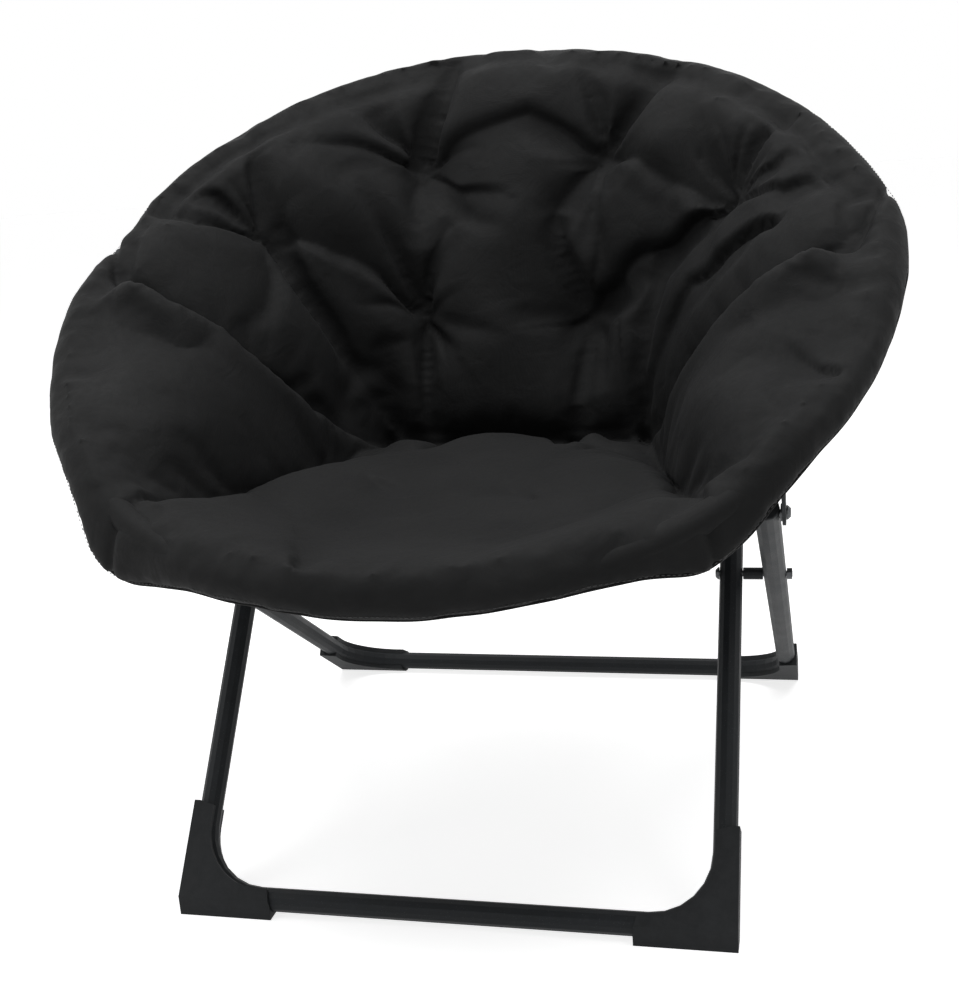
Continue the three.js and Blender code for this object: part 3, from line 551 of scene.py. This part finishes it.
def pad_base(around=216, rows=32):
    """The sections joined up all round, left open only along the crease, where they meet."""
    sections = [pad_section(2 * math.pi * i / around, rows) for i in range(around)]
    count, crease = len(sections[0][0]), sections[0][1]
    points = np.vstack([s for s, _ in sections]) * MM
    faces = []
    for i in range(around):
        j = (i + 1) % around
        for k in range(count):
            if k != crease:
                n = (k + 1) % count
                faces.append((i * count + k, j * count + k, j * count + n, i * count + n))
    base = mesh_object("pad_base", points, faces)
    work = bmesh.new()
    work.from_mesh(base.data)
    bmesh.ops.remove_doubles(work, verts=work.verts, dist=2e-5)
    bmesh.ops.dissolve_degenerate(work, edges=work.edges, dist=1e-5)
    bmesh.ops.recalc_face_normals(work, faces=work.faces)
    work.to_mesh(base.data)
    work.free()
    return base


SEAM_HELD, TUFT_HELD = 5, 10  # within these distances of a seam or a tuft the cover is held


def pad_pins(points):
    """Where the cover is sewn down or held by the ring: 1 held, 0 free."""
    x, u, w = points.T
    r = np.hypot(x, u)
    d = seam_distance(x, u)
    inner = r < 402
    held = np.maximum(ease(r, 396, 408), ((r > 377) & (w < -16)) * 1.0)
    held = np.maximum(held, ease(r, 380, 400) * 0.15)
    held = np.maximum(held, (d < SEAM_HELD) * inner * 1.0)
    for tx, tu in TUFTS:
        held = np.maximum(held, (np.hypot(x - tx, u - tu) < TUFT_HELD) * 1.0)
    drawn = fold_depth(x, u)
    return np.maximum(held, np.clip(drawn / 16, 0, 1) * 0.1 * inner)


FACE_SIZE = 0.0075
CLOTH_SETTINGS = {
    "vertex_group_mass": "held", "pin_stiffness": 1.0, "use_pressure": True, "uniform_pressure_force": 4.0,
    "quality": 4, "mass": 0.3, "tension_stiffness": 15, "compression_stiffness": 15, "shear_stiffness": 5,
    "bending_stiffness": 1.2, "tension_damping": 5, "compression_damping": 5, "shear_damping": 5,
    "shrink_min": -0.035,
}
RIM_CAP, SEAT_CAP = 7, 11


def puff(pad, frames=20, cap=26.0):
    """Blows the padding up inside its cover, held at its seams, tufts and edge, and by less than the cap."""
    start = coordinates(pad.data)
    held = np.round(pad_pins(start / MM), 2)
    group = pad.vertex_groups.new(name="held")
    for level in np.unique(held):
        if level > 0:
            group.add(np.nonzero(held == level)[0].tolist(), float(level), "REPLACE")
    cloth = pad.modifiers.new("cloth", "CLOTH")
    cloth.settings.effector_weights.gravity = 0
    for name, value in CLOTH_SETTINGS.items():
        setattr(cloth.settings, name, value)
    cloth.collision_settings.use_collision = False
    scene.frame_start, scene.frame_end = 1, frames
    cloth.point_cache.frame_start, cloth.point_cache.frame_end = 1, frames
    for number in range(1, frames + 1):
        scene.frame_set(number)
    pad = plain_mesh(pad, "pad_puffed")
    moved = coordinates(pad.data) - start
    length = np.linalg.norm(moved, axis=1, keepdims=True)
    r = np.hypot(start[:, 0], start[:, 1])[:, None] / MM
    ahead = ease(-start[:, 1:2] / MM, 120, 240)
    rim = ease(r, 330, 385)
    limit = (cap - (cap - RIM_CAP) * rim - (cap - SEAT_CAP) * ahead * (1 - rim)) * MM
    soft = np.where(length > 1e-9, limit * np.tanh(length / limit) / np.maximum(length, 1e-9), 1)
    set_coordinates(pad.data, start + moved * soft)
    scene.frame_set(1)
    return pad


def build_pad():
    """The padded cover in one piece: even faces, calmed near the crease's ends, puffed, and creased."""
    base = pad_base()
    remesh = base.modifiers.new("remesh", "REMESH")
    remesh.mode = "VOXEL"
    remesh.voxel_size = FACE_SIZE
    remesh.use_smooth_shade = True
    pad = plain_mesh(base, "pad_remeshed")
    x, u, _ = coordinates(pad.data).T / MM
    close = 1 - ease(np.hypot(np.abs(x) - CREASE_HALF, (u - CREASE_BEHIND) * 0.8), 55, 150)
    gathered = np.round(0.15 + 0.85 * close, 1)
    group = pad.vertex_groups.new(name="gathered")
    for level in np.unique(gathered):
        group.add(np.nonzero(gathered == level)[0].tolist(), float(level), "REPLACE")
    calm = pad.modifiers.new("calmer", "SMOOTH")
    calm.factor, calm.iterations, calm.vertex_group = 0.5, 14, "gathered"
    pad = plain_mesh(pad, "pad_calm")
    pad = puff(pad)
    even = pad.modifiers.new("evener", "SMOOTH")
    even.factor, even.iterations = 0.5, 3
    smoother = pad.modifiers.new("finer", "SUBSURF")
    smoother.levels = smoother.render_levels = 1
    pad = plain_mesh(pad, "pad_fine")
    crease_pad(pad)
    return pad


def ripple(along, across, seed):
    """A smooth uneven wave, for small puckers: sums of sines with fixed, unrelated lengths."""
    wave = (np.sin(along / 5.3 + seed) + 0.8 * np.sin(along / 8.9 + 2.1 * seed + 0.05 * across)
            + 0.6 * np.sin(along / 3.7 + 4.7 * seed))
    return wave / 2.4


def small_folds():
    """Short folds fanned out between the long ones round each tuft."""
    chance = np.random.default_rng(7)
    made = []
    for tx, tu in TUFTS:
        for k in range(7):
            turn = 2 * math.pi * (k + chance.uniform(-0.35, 0.35)) / 7
            long, deep, half = chance.uniform(34, 78), chance.uniform(2.5, 6), chance.uniform(5, 10)
            middle = (tx + 0.5 * long * math.cos(turn), tu + 0.5 * long * math.sin(turn))
            turn += chance.uniform(-0.35, 0.35)
            end = (middle[0] + 0.5 * long * math.cos(turn), middle[1] + 0.5 * long * math.sin(turn))
            made.append(([(tx, tu), middle, end], deep, half))
    return made


def crease_pad(pad):
    """Presses the folds, seams and puckers into the puffed cover."""
    points = coordinates(pad.data) / MM
    normals = np.empty(len(points) * 3, np.float32)
    pad.data.vertex_normals.foreach_get("vector", normals)
    normals = normals.reshape(-1, 3).astype(float)
    x, u, _ = points.T
    r = np.hypot(x, u)
    angle = np.arctan2(u, x)
    inside = np.array([0, 20, 70]) - points  # towards a place above the bowl, which only the upper side faces
    upper = ease(np.einsum("ij,ij->i", normals, inside) / np.linalg.norm(inside, axis=1), 0.0, 0.25)
    depth = np.zeros(len(x))
    near_rim = 1 - ease(r, 384, 404)
    for number, (path, deep, half) in enumerate(FOLDS):
        d, along, side = line_distance(x, u, path)
        reach = 1 - 0.85 * along if path[-1] not in TUFTS else 1 - 1.2 * along * (1 - along)
        narrow = half * (0.35 + 0.9 * along) * (1 + 0.6 * side * (-1) ** number)
        depth = np.maximum(depth, 1.25 * deep * reach * np.exp(-(d / narrow) ** 1.3))
    fine = np.zeros(len(x))
    for path, deep, half in small_folds():
        d, along, _ = line_distance(x, u, path)
        valley = np.exp(-(d / (half * (0.3 + 0.7 * along))) ** 1.3)
        fine = np.maximum(fine, deep * (1 - along) ** 0.7 * ease(along, 0, 0.25) * valley)
    for cx, cu, wide, long, deep in DENTS:
        fine = fine + deep * np.exp(-((x - cx) / wide) ** 2 - ((u - cu) / long) ** 2)
    depth = (depth + fine) * upper * near_rim
    for number, (path, _) in enumerate(SEAMS):
        d, along, _ = line_distance(np.abs(x), u, path)
        length = sum(math.dist(a, b) for a, b in zip(path, path[1:]))
        depth += 7 * np.exp(-(d / 4.5) ** 1.4) * (1 - 0.4 * ease(r, 400, 414))
        puckers = ripple(along * length, d, number + 0.3 * np.sign(x))
        depth += 1.5 * puckers * np.exp(-(d / 20)) * ease(d, 2, 9) * upper
    arc = angle * RING_RADIUS
    depth += 1.3 * ripple(arc, r, 5) * upper * ease(r, 330, 395)
    depth += 0.5 * ripple(arc * 0.6, r, 8) * (1 - upper) * ease(r, 396, 410)
    set_coordinates(pad.data, (points - normals * depth[:, None]) * MM)


def split_pad(pad):
    """The cover is cut across at the ring's hinges, so that each half follows its own half ring."""
    smooth = np.empty(len(pad.data.vertices) * 3, np.float32)
    pad.data.vertex_normals.foreach_get("vector", smooth)
    pad.data.attributes.new("whole_normal", "FLOAT_VECTOR", "POINT").data.foreach_set("vector", smooth)
    halves = []
    for name, keep_rear in (("cover_front", False), ("cover_rear", True)):
        half = pad.copy()
        half.data = pad.data.copy()
        half.name = half.data.name = name
        scene.collection.objects.link(half)
        work = bmesh.new()
        work.from_mesh(half.data)
        everything = work.verts[:] + work.edges[:] + work.faces[:]
        bmesh.ops.bisect_plane(
            work, geom=everything, plane_co=(0, HINGE_BEHIND * MM, 0), plane_no=(0, 1, 0),
            clear_outer=not keep_rear, clear_inner=keep_rear, dist=1e-6)
        open_edges = [e for e in work.edges if len(e.link_faces) == 1]
        made = bmesh.ops.holes_fill(work, edges=open_edges, sides=0)["faces"]
        bmesh.ops.recalc_face_normals(work, faces=work.faces)
        for face in made:
            face.material_index = 1
        work.to_mesh(half.data)
        work.free()
        halves.append(half)
    bpy.data.objects.remove(pad)
    return halves


def share_normals(half):
    """Both halves keep the whole cover's shading, so that the cut between them doesn't show."""
    mesh = half.data
    mesh.shade_smooth()
    whole = np.empty(len(mesh.vertices) * 3, np.float32)
    mesh.attributes["whole_normal"].data.foreach_get("vector", whole)
    whole = turned_all(whole.reshape(-1, 3).astype(float))
    corners = np.empty(len(mesh.loops), int)
    mesh.loops.foreach_get("vertex_index", corners)
    chosen = whole[corners]
    for face in mesh.polygons:
        if face.material_index == 1:
            chosen[face.loop_start:face.loop_start + face.loop_total] = face.normal
            face.material_index = 0
    mesh.attributes.remove(mesh.attributes["whole_normal"])
    mesh.normals_split_custom_set([tuple(n) for n in chosen])


def lay_weave(mesh, points):
    """A UV map in metres that follows the cloth: across, and along the cover from front to back."""
    x, u, w = points.T
    along = u - 0.8 * w * np.sign(u - CREASE_BEHIND * MM)
    layer = mesh.uv_layers.get("weave") or mesh.uv_layers.new(name="weave")
    corners = np.empty(len(mesh.loops), int)
    mesh.loops.foreach_get("vertex_index", corners)
    flat = np.stack([x, along], -1)[corners]
    layer.data.foreach_set("uv", flat.ravel())


def finish_cloth(made, material):
    """Lays the weave, turns the piece from the ring's plane into the chair's frame and gives it its cloth."""
    points = coordinates(made.data)
    lay_weave(made.data, points)
    set_coordinates(made.data, to_row(points / MM))
    made.data.materials.clear()
    made.data.materials.append(material)


def build_cover():
    """The cover's two halves, each riding on its half ring; gives back the edge that was measured on them."""
    pad = build_pad()
    edge = measured_edge(pad)
    front, rear = split_pad(pad)
    for half in (front, rear):
        finish_cloth(half, CLOTH)
        share_normals(half)
    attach(front, "front_half")
    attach(rear, "rear_half")
    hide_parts("cover_seat_panel", "cover_lower_back_panel",
                "cover_side_panel_right", "cover_side_panel_left")
    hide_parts("cover_back_panel")
    for half in (front, rear):
        flatten(half)
    return edge


# ---------------------------------------------------------------- the sleeve and the bound edge


def arc_angles(rear, back=0.0):
    """Angles round the ring for one half, from hinge to hinge, or cut back from both hinges."""
    at_hinge = math.asin((HINGE_BEHIND + (back if rear else -back)) / RING_RADIUS)
    first, last = (at_hinge, math.pi - at_hinge) if rear else (math.pi - at_hinge, 2 * math.pi + at_hinge)
    return np.linspace(first, last, 90 if rear else 120)


def slot_half(angle):
    """Half the angle that the sleeve is open below: a narrow slit, wide where a tab comes out."""
    turn = np.asarray(angle)
    opened = np.full(turn.shape, 0.06)
    for tab in (FRONT_TAB, math.pi - FRONT_TAB, REAR_TAB, math.pi - REAR_TAB):
        off = np.abs((turn - tab + math.pi) % (2 * math.pi) - math.pi)
        opened = np.maximum(opened, 0.06 + 1.1 * (1 - ease(off, 0.05, 0.11)))
    return opened


def build_sleeve(rear):
    """The tunnel of cloth round the ring tube, slit where the tabs come out and ending off the hinges."""
    angles = arc_angles(rear, SLEEVE_ENDS)
    steps = 22
    points, faces = [], []
    for angle, gap in zip(angles, slot_half(angles)):
        c, s = math.cos(angle), math.sin(angle)
        turn = np.linspace(-math.pi / 2 + gap, 1.5 * math.pi - gap, steps)
        for reach, way in ((RING_TUBE + 1.7, 1), (RING_TUBE + 0.5, -1)):
            for a in turn[::way]:
                r, w = RING_RADIUS + reach * math.cos(a), -RING_DROP + reach * math.sin(a)
                points.append((r * c, r * s, w))
    count = 2 * steps
    for i in range(len(angles) - 1):
        for k in range(count):
            n = (k + 1) % count
            faces.append((i * count + k, (i + 1) * count + k, (i + 1) * count + n, i * count + n))
    for i in (0, len(angles) - 1):
        for k in range(steps - 1):
            a, b = i * count + k, i * count + k + 1
            d, e = i * count + count - 1 - k, i * count + count - 2 - k
            faces.append((a, b, e, d))
    name = "cover_sleeve_rear" if rear else "cover_sleeve_front"
    sleeve = mesh_object(name, np.array(points) * MM, faces)
    recalculate(sleeve)
    finish_cloth(sleeve, CLOTH)
    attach(sleeve, "rear_half" if rear else "front_half")


def recalculate(made):
    """Merges doubled points and turns every face outwards."""
    work = bmesh.new()
    work.from_mesh(made.data)
    bmesh.ops.remove_doubles(work, verts=work.verts, dist=1e-6)
    bmesh.ops.recalc_face_normals(work, faces=work.faces)
    work.to_mesh(made.data)
    work.free()
    made.data.shade_smooth()


def round_tube(name, path, half, sides=8):
    """A closed tube along a path of points in mm, with round ends; half its width may change along it."""
    path = np.asarray(path, float)
    half = np.broadcast_to(half, len(path))
    tangent = np.gradient(path, axis=0)
    tangent /= np.linalg.norm(tangent, axis=1, keepdims=True)
    side = np.cross(tangent, (0, 0, 1.0))
    side /= np.linalg.norm(side, axis=1, keepdims=True)
    above = np.cross(side, tangent)
    turn = np.linspace(0, 2 * math.pi, sides + 1)[:-1]
    outward = np.cos(turn)[None, :, None] * side[:, None] + np.sin(turn)[None, :, None] * above[:, None]
    rings = path[:, None] + half[:, None, None] * outward
    points = list(rings.reshape(-1, 3))
    faces = []
    for i in range(len(path) - 1):
        for k in range(sides):
            n = (k + 1) % sides
            faces.append((i * sides + k, i * sides + n, (i + 1) * sides + n, (i + 1) * sides + k))
    ends = ((0, path[0] - tangent[0] * half[0] * 0.6, True),
            ((len(path) - 1) * sides, path[-1] + tangent[-1] * half[-1] * 0.6, False))
    for first, centre, back in ends:
        points.append(centre)
        tip = len(points) - 1
        for k in range(sides):
            n = (k + 1) % sides
            faces.append((tip, first + n, first + k) if back else (tip, first + k, first + n))
    made = mesh_object(name, np.array(points) * MM, faces)
    recalculate(made)
    return made


EDGE_COUNT = 360
EDGE_REACH = 0.016  # how far round from each angle the edge is looked for
STITCH_LEAN = 0.7  # how much nearer the top the stitches lie, in radians round the rim


def measured_edge(pad):
    """The finished cover's own edge round the ring: where its binding lies, and the row of stitches."""
    points = coordinates(pad.data) / MM
    x, u, w = points.T
    r = np.hypot(x, u)
    centre = (np.arange(EDGE_COUNT) + 0.5) / EDGE_COUNT * 2 * math.pi
    angle = np.arctan2(u, x)
    front = ease(-np.sin(centre), -0.35, 0.45)
    lean = np.radians(8 + 36 * front)
    rows = []
    for middle, down in zip(centre, lean):
        near = (r > 388) & (np.abs((angle - middle + math.pi) % (2 * math.pi) - math.pi) < EDGE_REACH)
        row = ()
        for way in (down, down - STITCH_LEAN):
            furthest = np.argmax(r[near] * math.cos(way) - w[near] * math.sin(way))
            row += (r[near][furthest], w[near][furthest])
        rows.append(row)
    rows = np.array(rows)
    for _ in range(3):
        rows = 0.25 * np.roll(rows, 1, 0) + 0.5 * rows + 0.25 * np.roll(rows, -1, 0)
    return centre, rows


def along_edge(rear, edge, first, count=260, out=0.0):
    """Points along one half of the edge, from the measured radius and height in two neighbouring columns."""
    ends = arc_angles(rear)
    angles = np.linspace(ends[0], ends[-1], count)
    centre, rows = edge
    r, w = (np.interp(angles % (2 * math.pi), centre, rows[:, first + k], period=2 * math.pi) for k in (0, 1))
    return np.stack([(r + out) * np.cos(angles), (r + out) * np.sin(angles), w], -1), angles


def flatten(made):
    """Gives the piece a mesh of its own."""
    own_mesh(made)


BINDING_HALF = 1.9


def build_binding(rear, edge):
    """The cord-filled binding sewn round the cover's edge, fuller where it stands up behind the back; its cloth
    is darker, painted shade along the edge.
    """
    path, angles = along_edge(rear, edge, 0, out=-0.5)
    turn = np.degrees(angles)
    half = BINDING_HALF + 1.8 * np.exp(-((turn - 134) / 14) ** 2) + 1.2 * np.exp(-((turn - 46) / 9) ** 2)
    corner = np.exp(-((np.abs(turn % 360 - 270) - 36.5) / 12) ** 2)  # drawn in and fuller at the seat's corners
    half = half + 0.9 * corner
    inwards = np.stack([-np.cos(angles), -np.sin(angles), np.ones(len(angles))], -1)
    path = path + 1.5 * corner[:, None] * inwards
    made = round_tube("cover_binding_rear" if rear else "cover_binding_front", path, half)
    # darker cloth: painted shade along the edge
    finish_cloth(made, BINDING_PAINTED_SHADE)
    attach(made, "rear_half" if rear else "front_half")
    flatten(made)


def stitch_tree():
    """A row of stitches along a line: spacing, length, thickness, seed and thread are its inputs."""
    tree = bpy.data.node_groups.new("stitch_row", "GeometryNodeTree")
    face = tree.interface
    face.new_socket("Line", in_out="INPUT", socket_type="NodeSocketGeometry")
    kinds = {"Spacing": "Float", "Length": "Float", "Thickness": "Float", "Seed": "Int", "Thread": "Material"}
    for name, kind in kinds.items():
        face.new_socket(name, in_out="INPUT", socket_type="NodeSocket" + kind)
    face.new_socket("Stitches", in_out="OUTPUT", socket_type="NodeSocketGeometry")
    add, link = tree.nodes.new, tree.links.new
    given, made = add("NodeGroupInput"), add("NodeGroupOutput")
    curve = add("GeometryNodeMeshToCurve")
    even = add("GeometryNodeResampleCurve")
    even.mode = "LENGTH"
    bead = add("GeometryNodeMeshUVSphere")
    bead.inputs["Segments"].default_value = 6
    bead.inputs["Rings"].default_value = 4
    bead.inputs["Radius"].default_value = 0.5
    size = add("ShaderNodeCombineXYZ")
    chance = add("FunctionNodeRandomValue")
    chance.inputs[2].default_value = 0.85
    chance.inputs[3].default_value = 1.12
    scaled = add("ShaderNodeVectorMath")
    scaled.operation = "SCALE"
    tangent = add("GeometryNodeInputTangent")
    align = add("FunctionNodeAlignRotationToVector")
    align.axis = "Z"
    place = add("GeometryNodeInstanceOnPoints")
    real = add("GeometryNodeRealizeInstances")
    dress = add("GeometryNodeSetMaterial")
    link(given.outputs["Line"], curve.inputs["Mesh"])
    link(curve.outputs["Curve"], even.inputs["Curve"])
    link(given.outputs["Spacing"], even.inputs["Length"])
    link(given.outputs["Thickness"], size.inputs["X"])
    link(given.outputs["Thickness"], size.inputs["Y"])
    link(given.outputs["Length"], size.inputs["Z"])
    link(given.outputs["Seed"], chance.inputs["Seed"])
    link(size.outputs[0], scaled.inputs[0])
    link(chance.outputs[1], scaled.inputs["Scale"])
    link(tangent.outputs[0], align.inputs["Vector"])
    link(even.outputs["Curve"], place.inputs["Points"])
    link(bead.outputs["Mesh"], place.inputs["Instance"])
    link(align.outputs[0], place.inputs["Rotation"])
    link(scaled.outputs[0], place.inputs["Scale"])
    link(place.outputs["Instances"], real.inputs[0])
    link(real.outputs[0], dress.inputs["Geometry"])
    link(given.outputs["Thread"], dress.inputs["Material"])
    link(dress.outputs[0], made.inputs["Stitches"])
    return tree


STITCH = {"Spacing": 0.0046, "Length": 0.0032, "Thickness": 0.0008, "Seed": 3, "Thread": THREAD}


def build_stitches(rear, edge, tree):
    """The row that holds the hem, sewn a little way in from the binding."""
    path, _ = along_edge(rear, edge, 2, 520)
    name = "cover_stitches_rear" if rear else "cover_stitches_front"
    mesh = bpy.data.meshes.new(name + "_line")
    mesh.from_pydata([tuple(p) for p in to_row(path)], [(k, k + 1) for k in range(len(path) - 1)], [])
    line = bpy.data.objects.new(name + "_line", mesh)
    scene.collection.objects.link(line)
    sewing = line.modifiers.new("sewing", "NODES")
    sewing.node_group = tree
    for item in tree.interface.items_tree:
        if item.in_out == "INPUT" and item.name in STITCH:
            sewing[item.identifier] = STITCH[item.name]
    made = plain_mesh(line, name)
    made.data.shade_smooth()
    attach(made, "rear_half" if rear else "front_half")
    flatten(made)


bound_edge = build_cover()
stitching = stitch_tree()
for rear in (False, True):
    build_sleeve(rear)
    build_binding(rear, bound_edge)
    build_stitches(rear, bound_edge, stitching)

# ---------------------------------------------------------------- finishes on the metal and plastic

SLOT_FINISH = {"black_paint": STEEL, "black_plastic": PLASTIC, "dark_zinc": ZINC, "black_fabric": CLOTH}
NAME_FINISH = {"foot": PLASTIC, "plug": PLASTIC, "bolt": ZINC, "nut": ZINC, "washer": ZINC, "pin": ZINC,
               "stud": ZINC, "cover": CLOTH}


def dress_nodes():
    """Each solid of the part gets its finish, by its own material or else by its name."""
    for name, node in nodes.items():
        used = node.data.materials[0].name.split(".")[0] if node.data.materials else ""
        finish = SLOT_FINISH.get(used)
        if finish is None:
            finish = next((f for word, f in NAME_FINISH.items() if word in name), STEEL)
        for slot in node.material_slots:
            slot.material = finish


dress_nodes()

# ---------------------------------------------------------------- floor and light


# name, place, what it is aimed at, width, depth and power
LIGHTS = [
    ("key_light", (0, -0.2, 2.9), (0, -0.1, 0.4), 3.8, 1.8, 72),
    ("fill_light", (-2.3, -1.7, 1.5), (0, 0, 0.4), 1.8, 1.8, 10),
    ("rear_light", (-0.3, 2.6, 2.2), (0, 0, 0.6), 1.6, 1.6, 3),
]
FLOOR_LIFT = 0.78  # what the floor adds to its own light as the camera, metal and glass see it
ROOM_LIGHT = 0.15


def build_floor():
    """A pale floor that keeps the chair's shadow and is white where nothing shades it."""
    corners = [(-9, -7, 0), (9, -7, 0), (9, 14, 0), (-9, 14, 0)]
    floor = mesh_object("floor", corners, [(0, 1, 2, 3)], smooth=False)
    f = Finish("studio_floor")
    f.shader.inputs["Base Color"].default_value = (0.86, 0.86, 0.86, 1)
    f.shader.inputs["Roughness"].default_value = 0.8
    rays = f.nodes.new("ShaderNodeLightPath")
    seen = f.node("ShaderNodeMath", operation="MAXIMUM")
    direct = f.node("ShaderNodeMath", operation="MAXIMUM")
    lift = f.node("ShaderNodeMath", operation="MULTIPLY")
    f.link(rays.outputs["Is Camera Ray"], seen.inputs[0])
    f.link(rays.outputs["Is Glossy Ray"], seen.inputs[1])
    f.link(seen.outputs[0], direct.inputs[0])
    f.link(rays.outputs["Is Transmission Ray"], direct.inputs[1])
    f.link(direct.outputs[0], lift.inputs[0])
    lift.inputs[1].default_value = FLOOR_LIFT
    f.shader.inputs["Emission Color"].default_value = (1, 1, 1, 1)
    f.link(lift.outputs[0], f.shader.inputs["Emission Strength"])
    floor.data.materials.append(f.material)


def build_room():
    """White to the camera and in reflections, and only dim light to everything else."""
    world = bpy.data.worlds.new("studio")
    scene.world = world
    world.use_nodes = True
    tree = world.node_tree
    back = tree.nodes["Background"]
    back.inputs["Color"].default_value = (1, 1, 1, 1)
    back.inputs["Strength"].default_value = ROOM_LIGHT
    seen = tree.nodes.new("ShaderNodeBackground")
    seen.inputs["Color"].default_value = (1, 1, 1, 1)
    seen.inputs["Strength"].default_value = 1.0
    rays = tree.nodes.new("ShaderNodeLightPath")
    mirrored, either = tree.nodes.new("ShaderNodeMath"), tree.nodes.new("ShaderNodeMath")
    mirrored.operation = either.operation = "MAXIMUM"
    tree.links.new(rays.outputs["Is Glossy Ray"], mirrored.inputs[0])
    tree.links.new(rays.outputs["Is Transmission Ray"], mirrored.inputs[1])
    tree.links.new(rays.outputs["Is Camera Ray"], either.inputs[0])
    tree.links.new(mirrored.outputs[0], either.inputs[1])
    mix = tree.nodes.new("ShaderNodeMixShader")
    tree.links.new(either.outputs[0], mix.inputs["Fac"])
    tree.links.new(back.outputs[0], mix.inputs[1])
    tree.links.new(seen.outputs[0], mix.inputs[2])
    tree.links.new(mix.outputs[0], tree.nodes["World Output"].inputs["Surface"])


def build_lights():
    for name, place, aim, wide, deep, energy in LIGHTS:
        light = bpy.data.lights.new(name, "AREA")
        light.shape, light.size, light.size_y = "RECTANGLE", wide, deep
        light.energy = energy
        lamp = bpy.data.objects.new(name, light)
        scene.collection.objects.link(lamp)
        lamp.location = place
        lamp.rotation_euler = (Vector(aim) - Vector(place)).to_track_quat("-Z", "Y").to_euler()


build_floor()
build_room()
build_lights()
scene.view_settings.view_transform = "Standard"
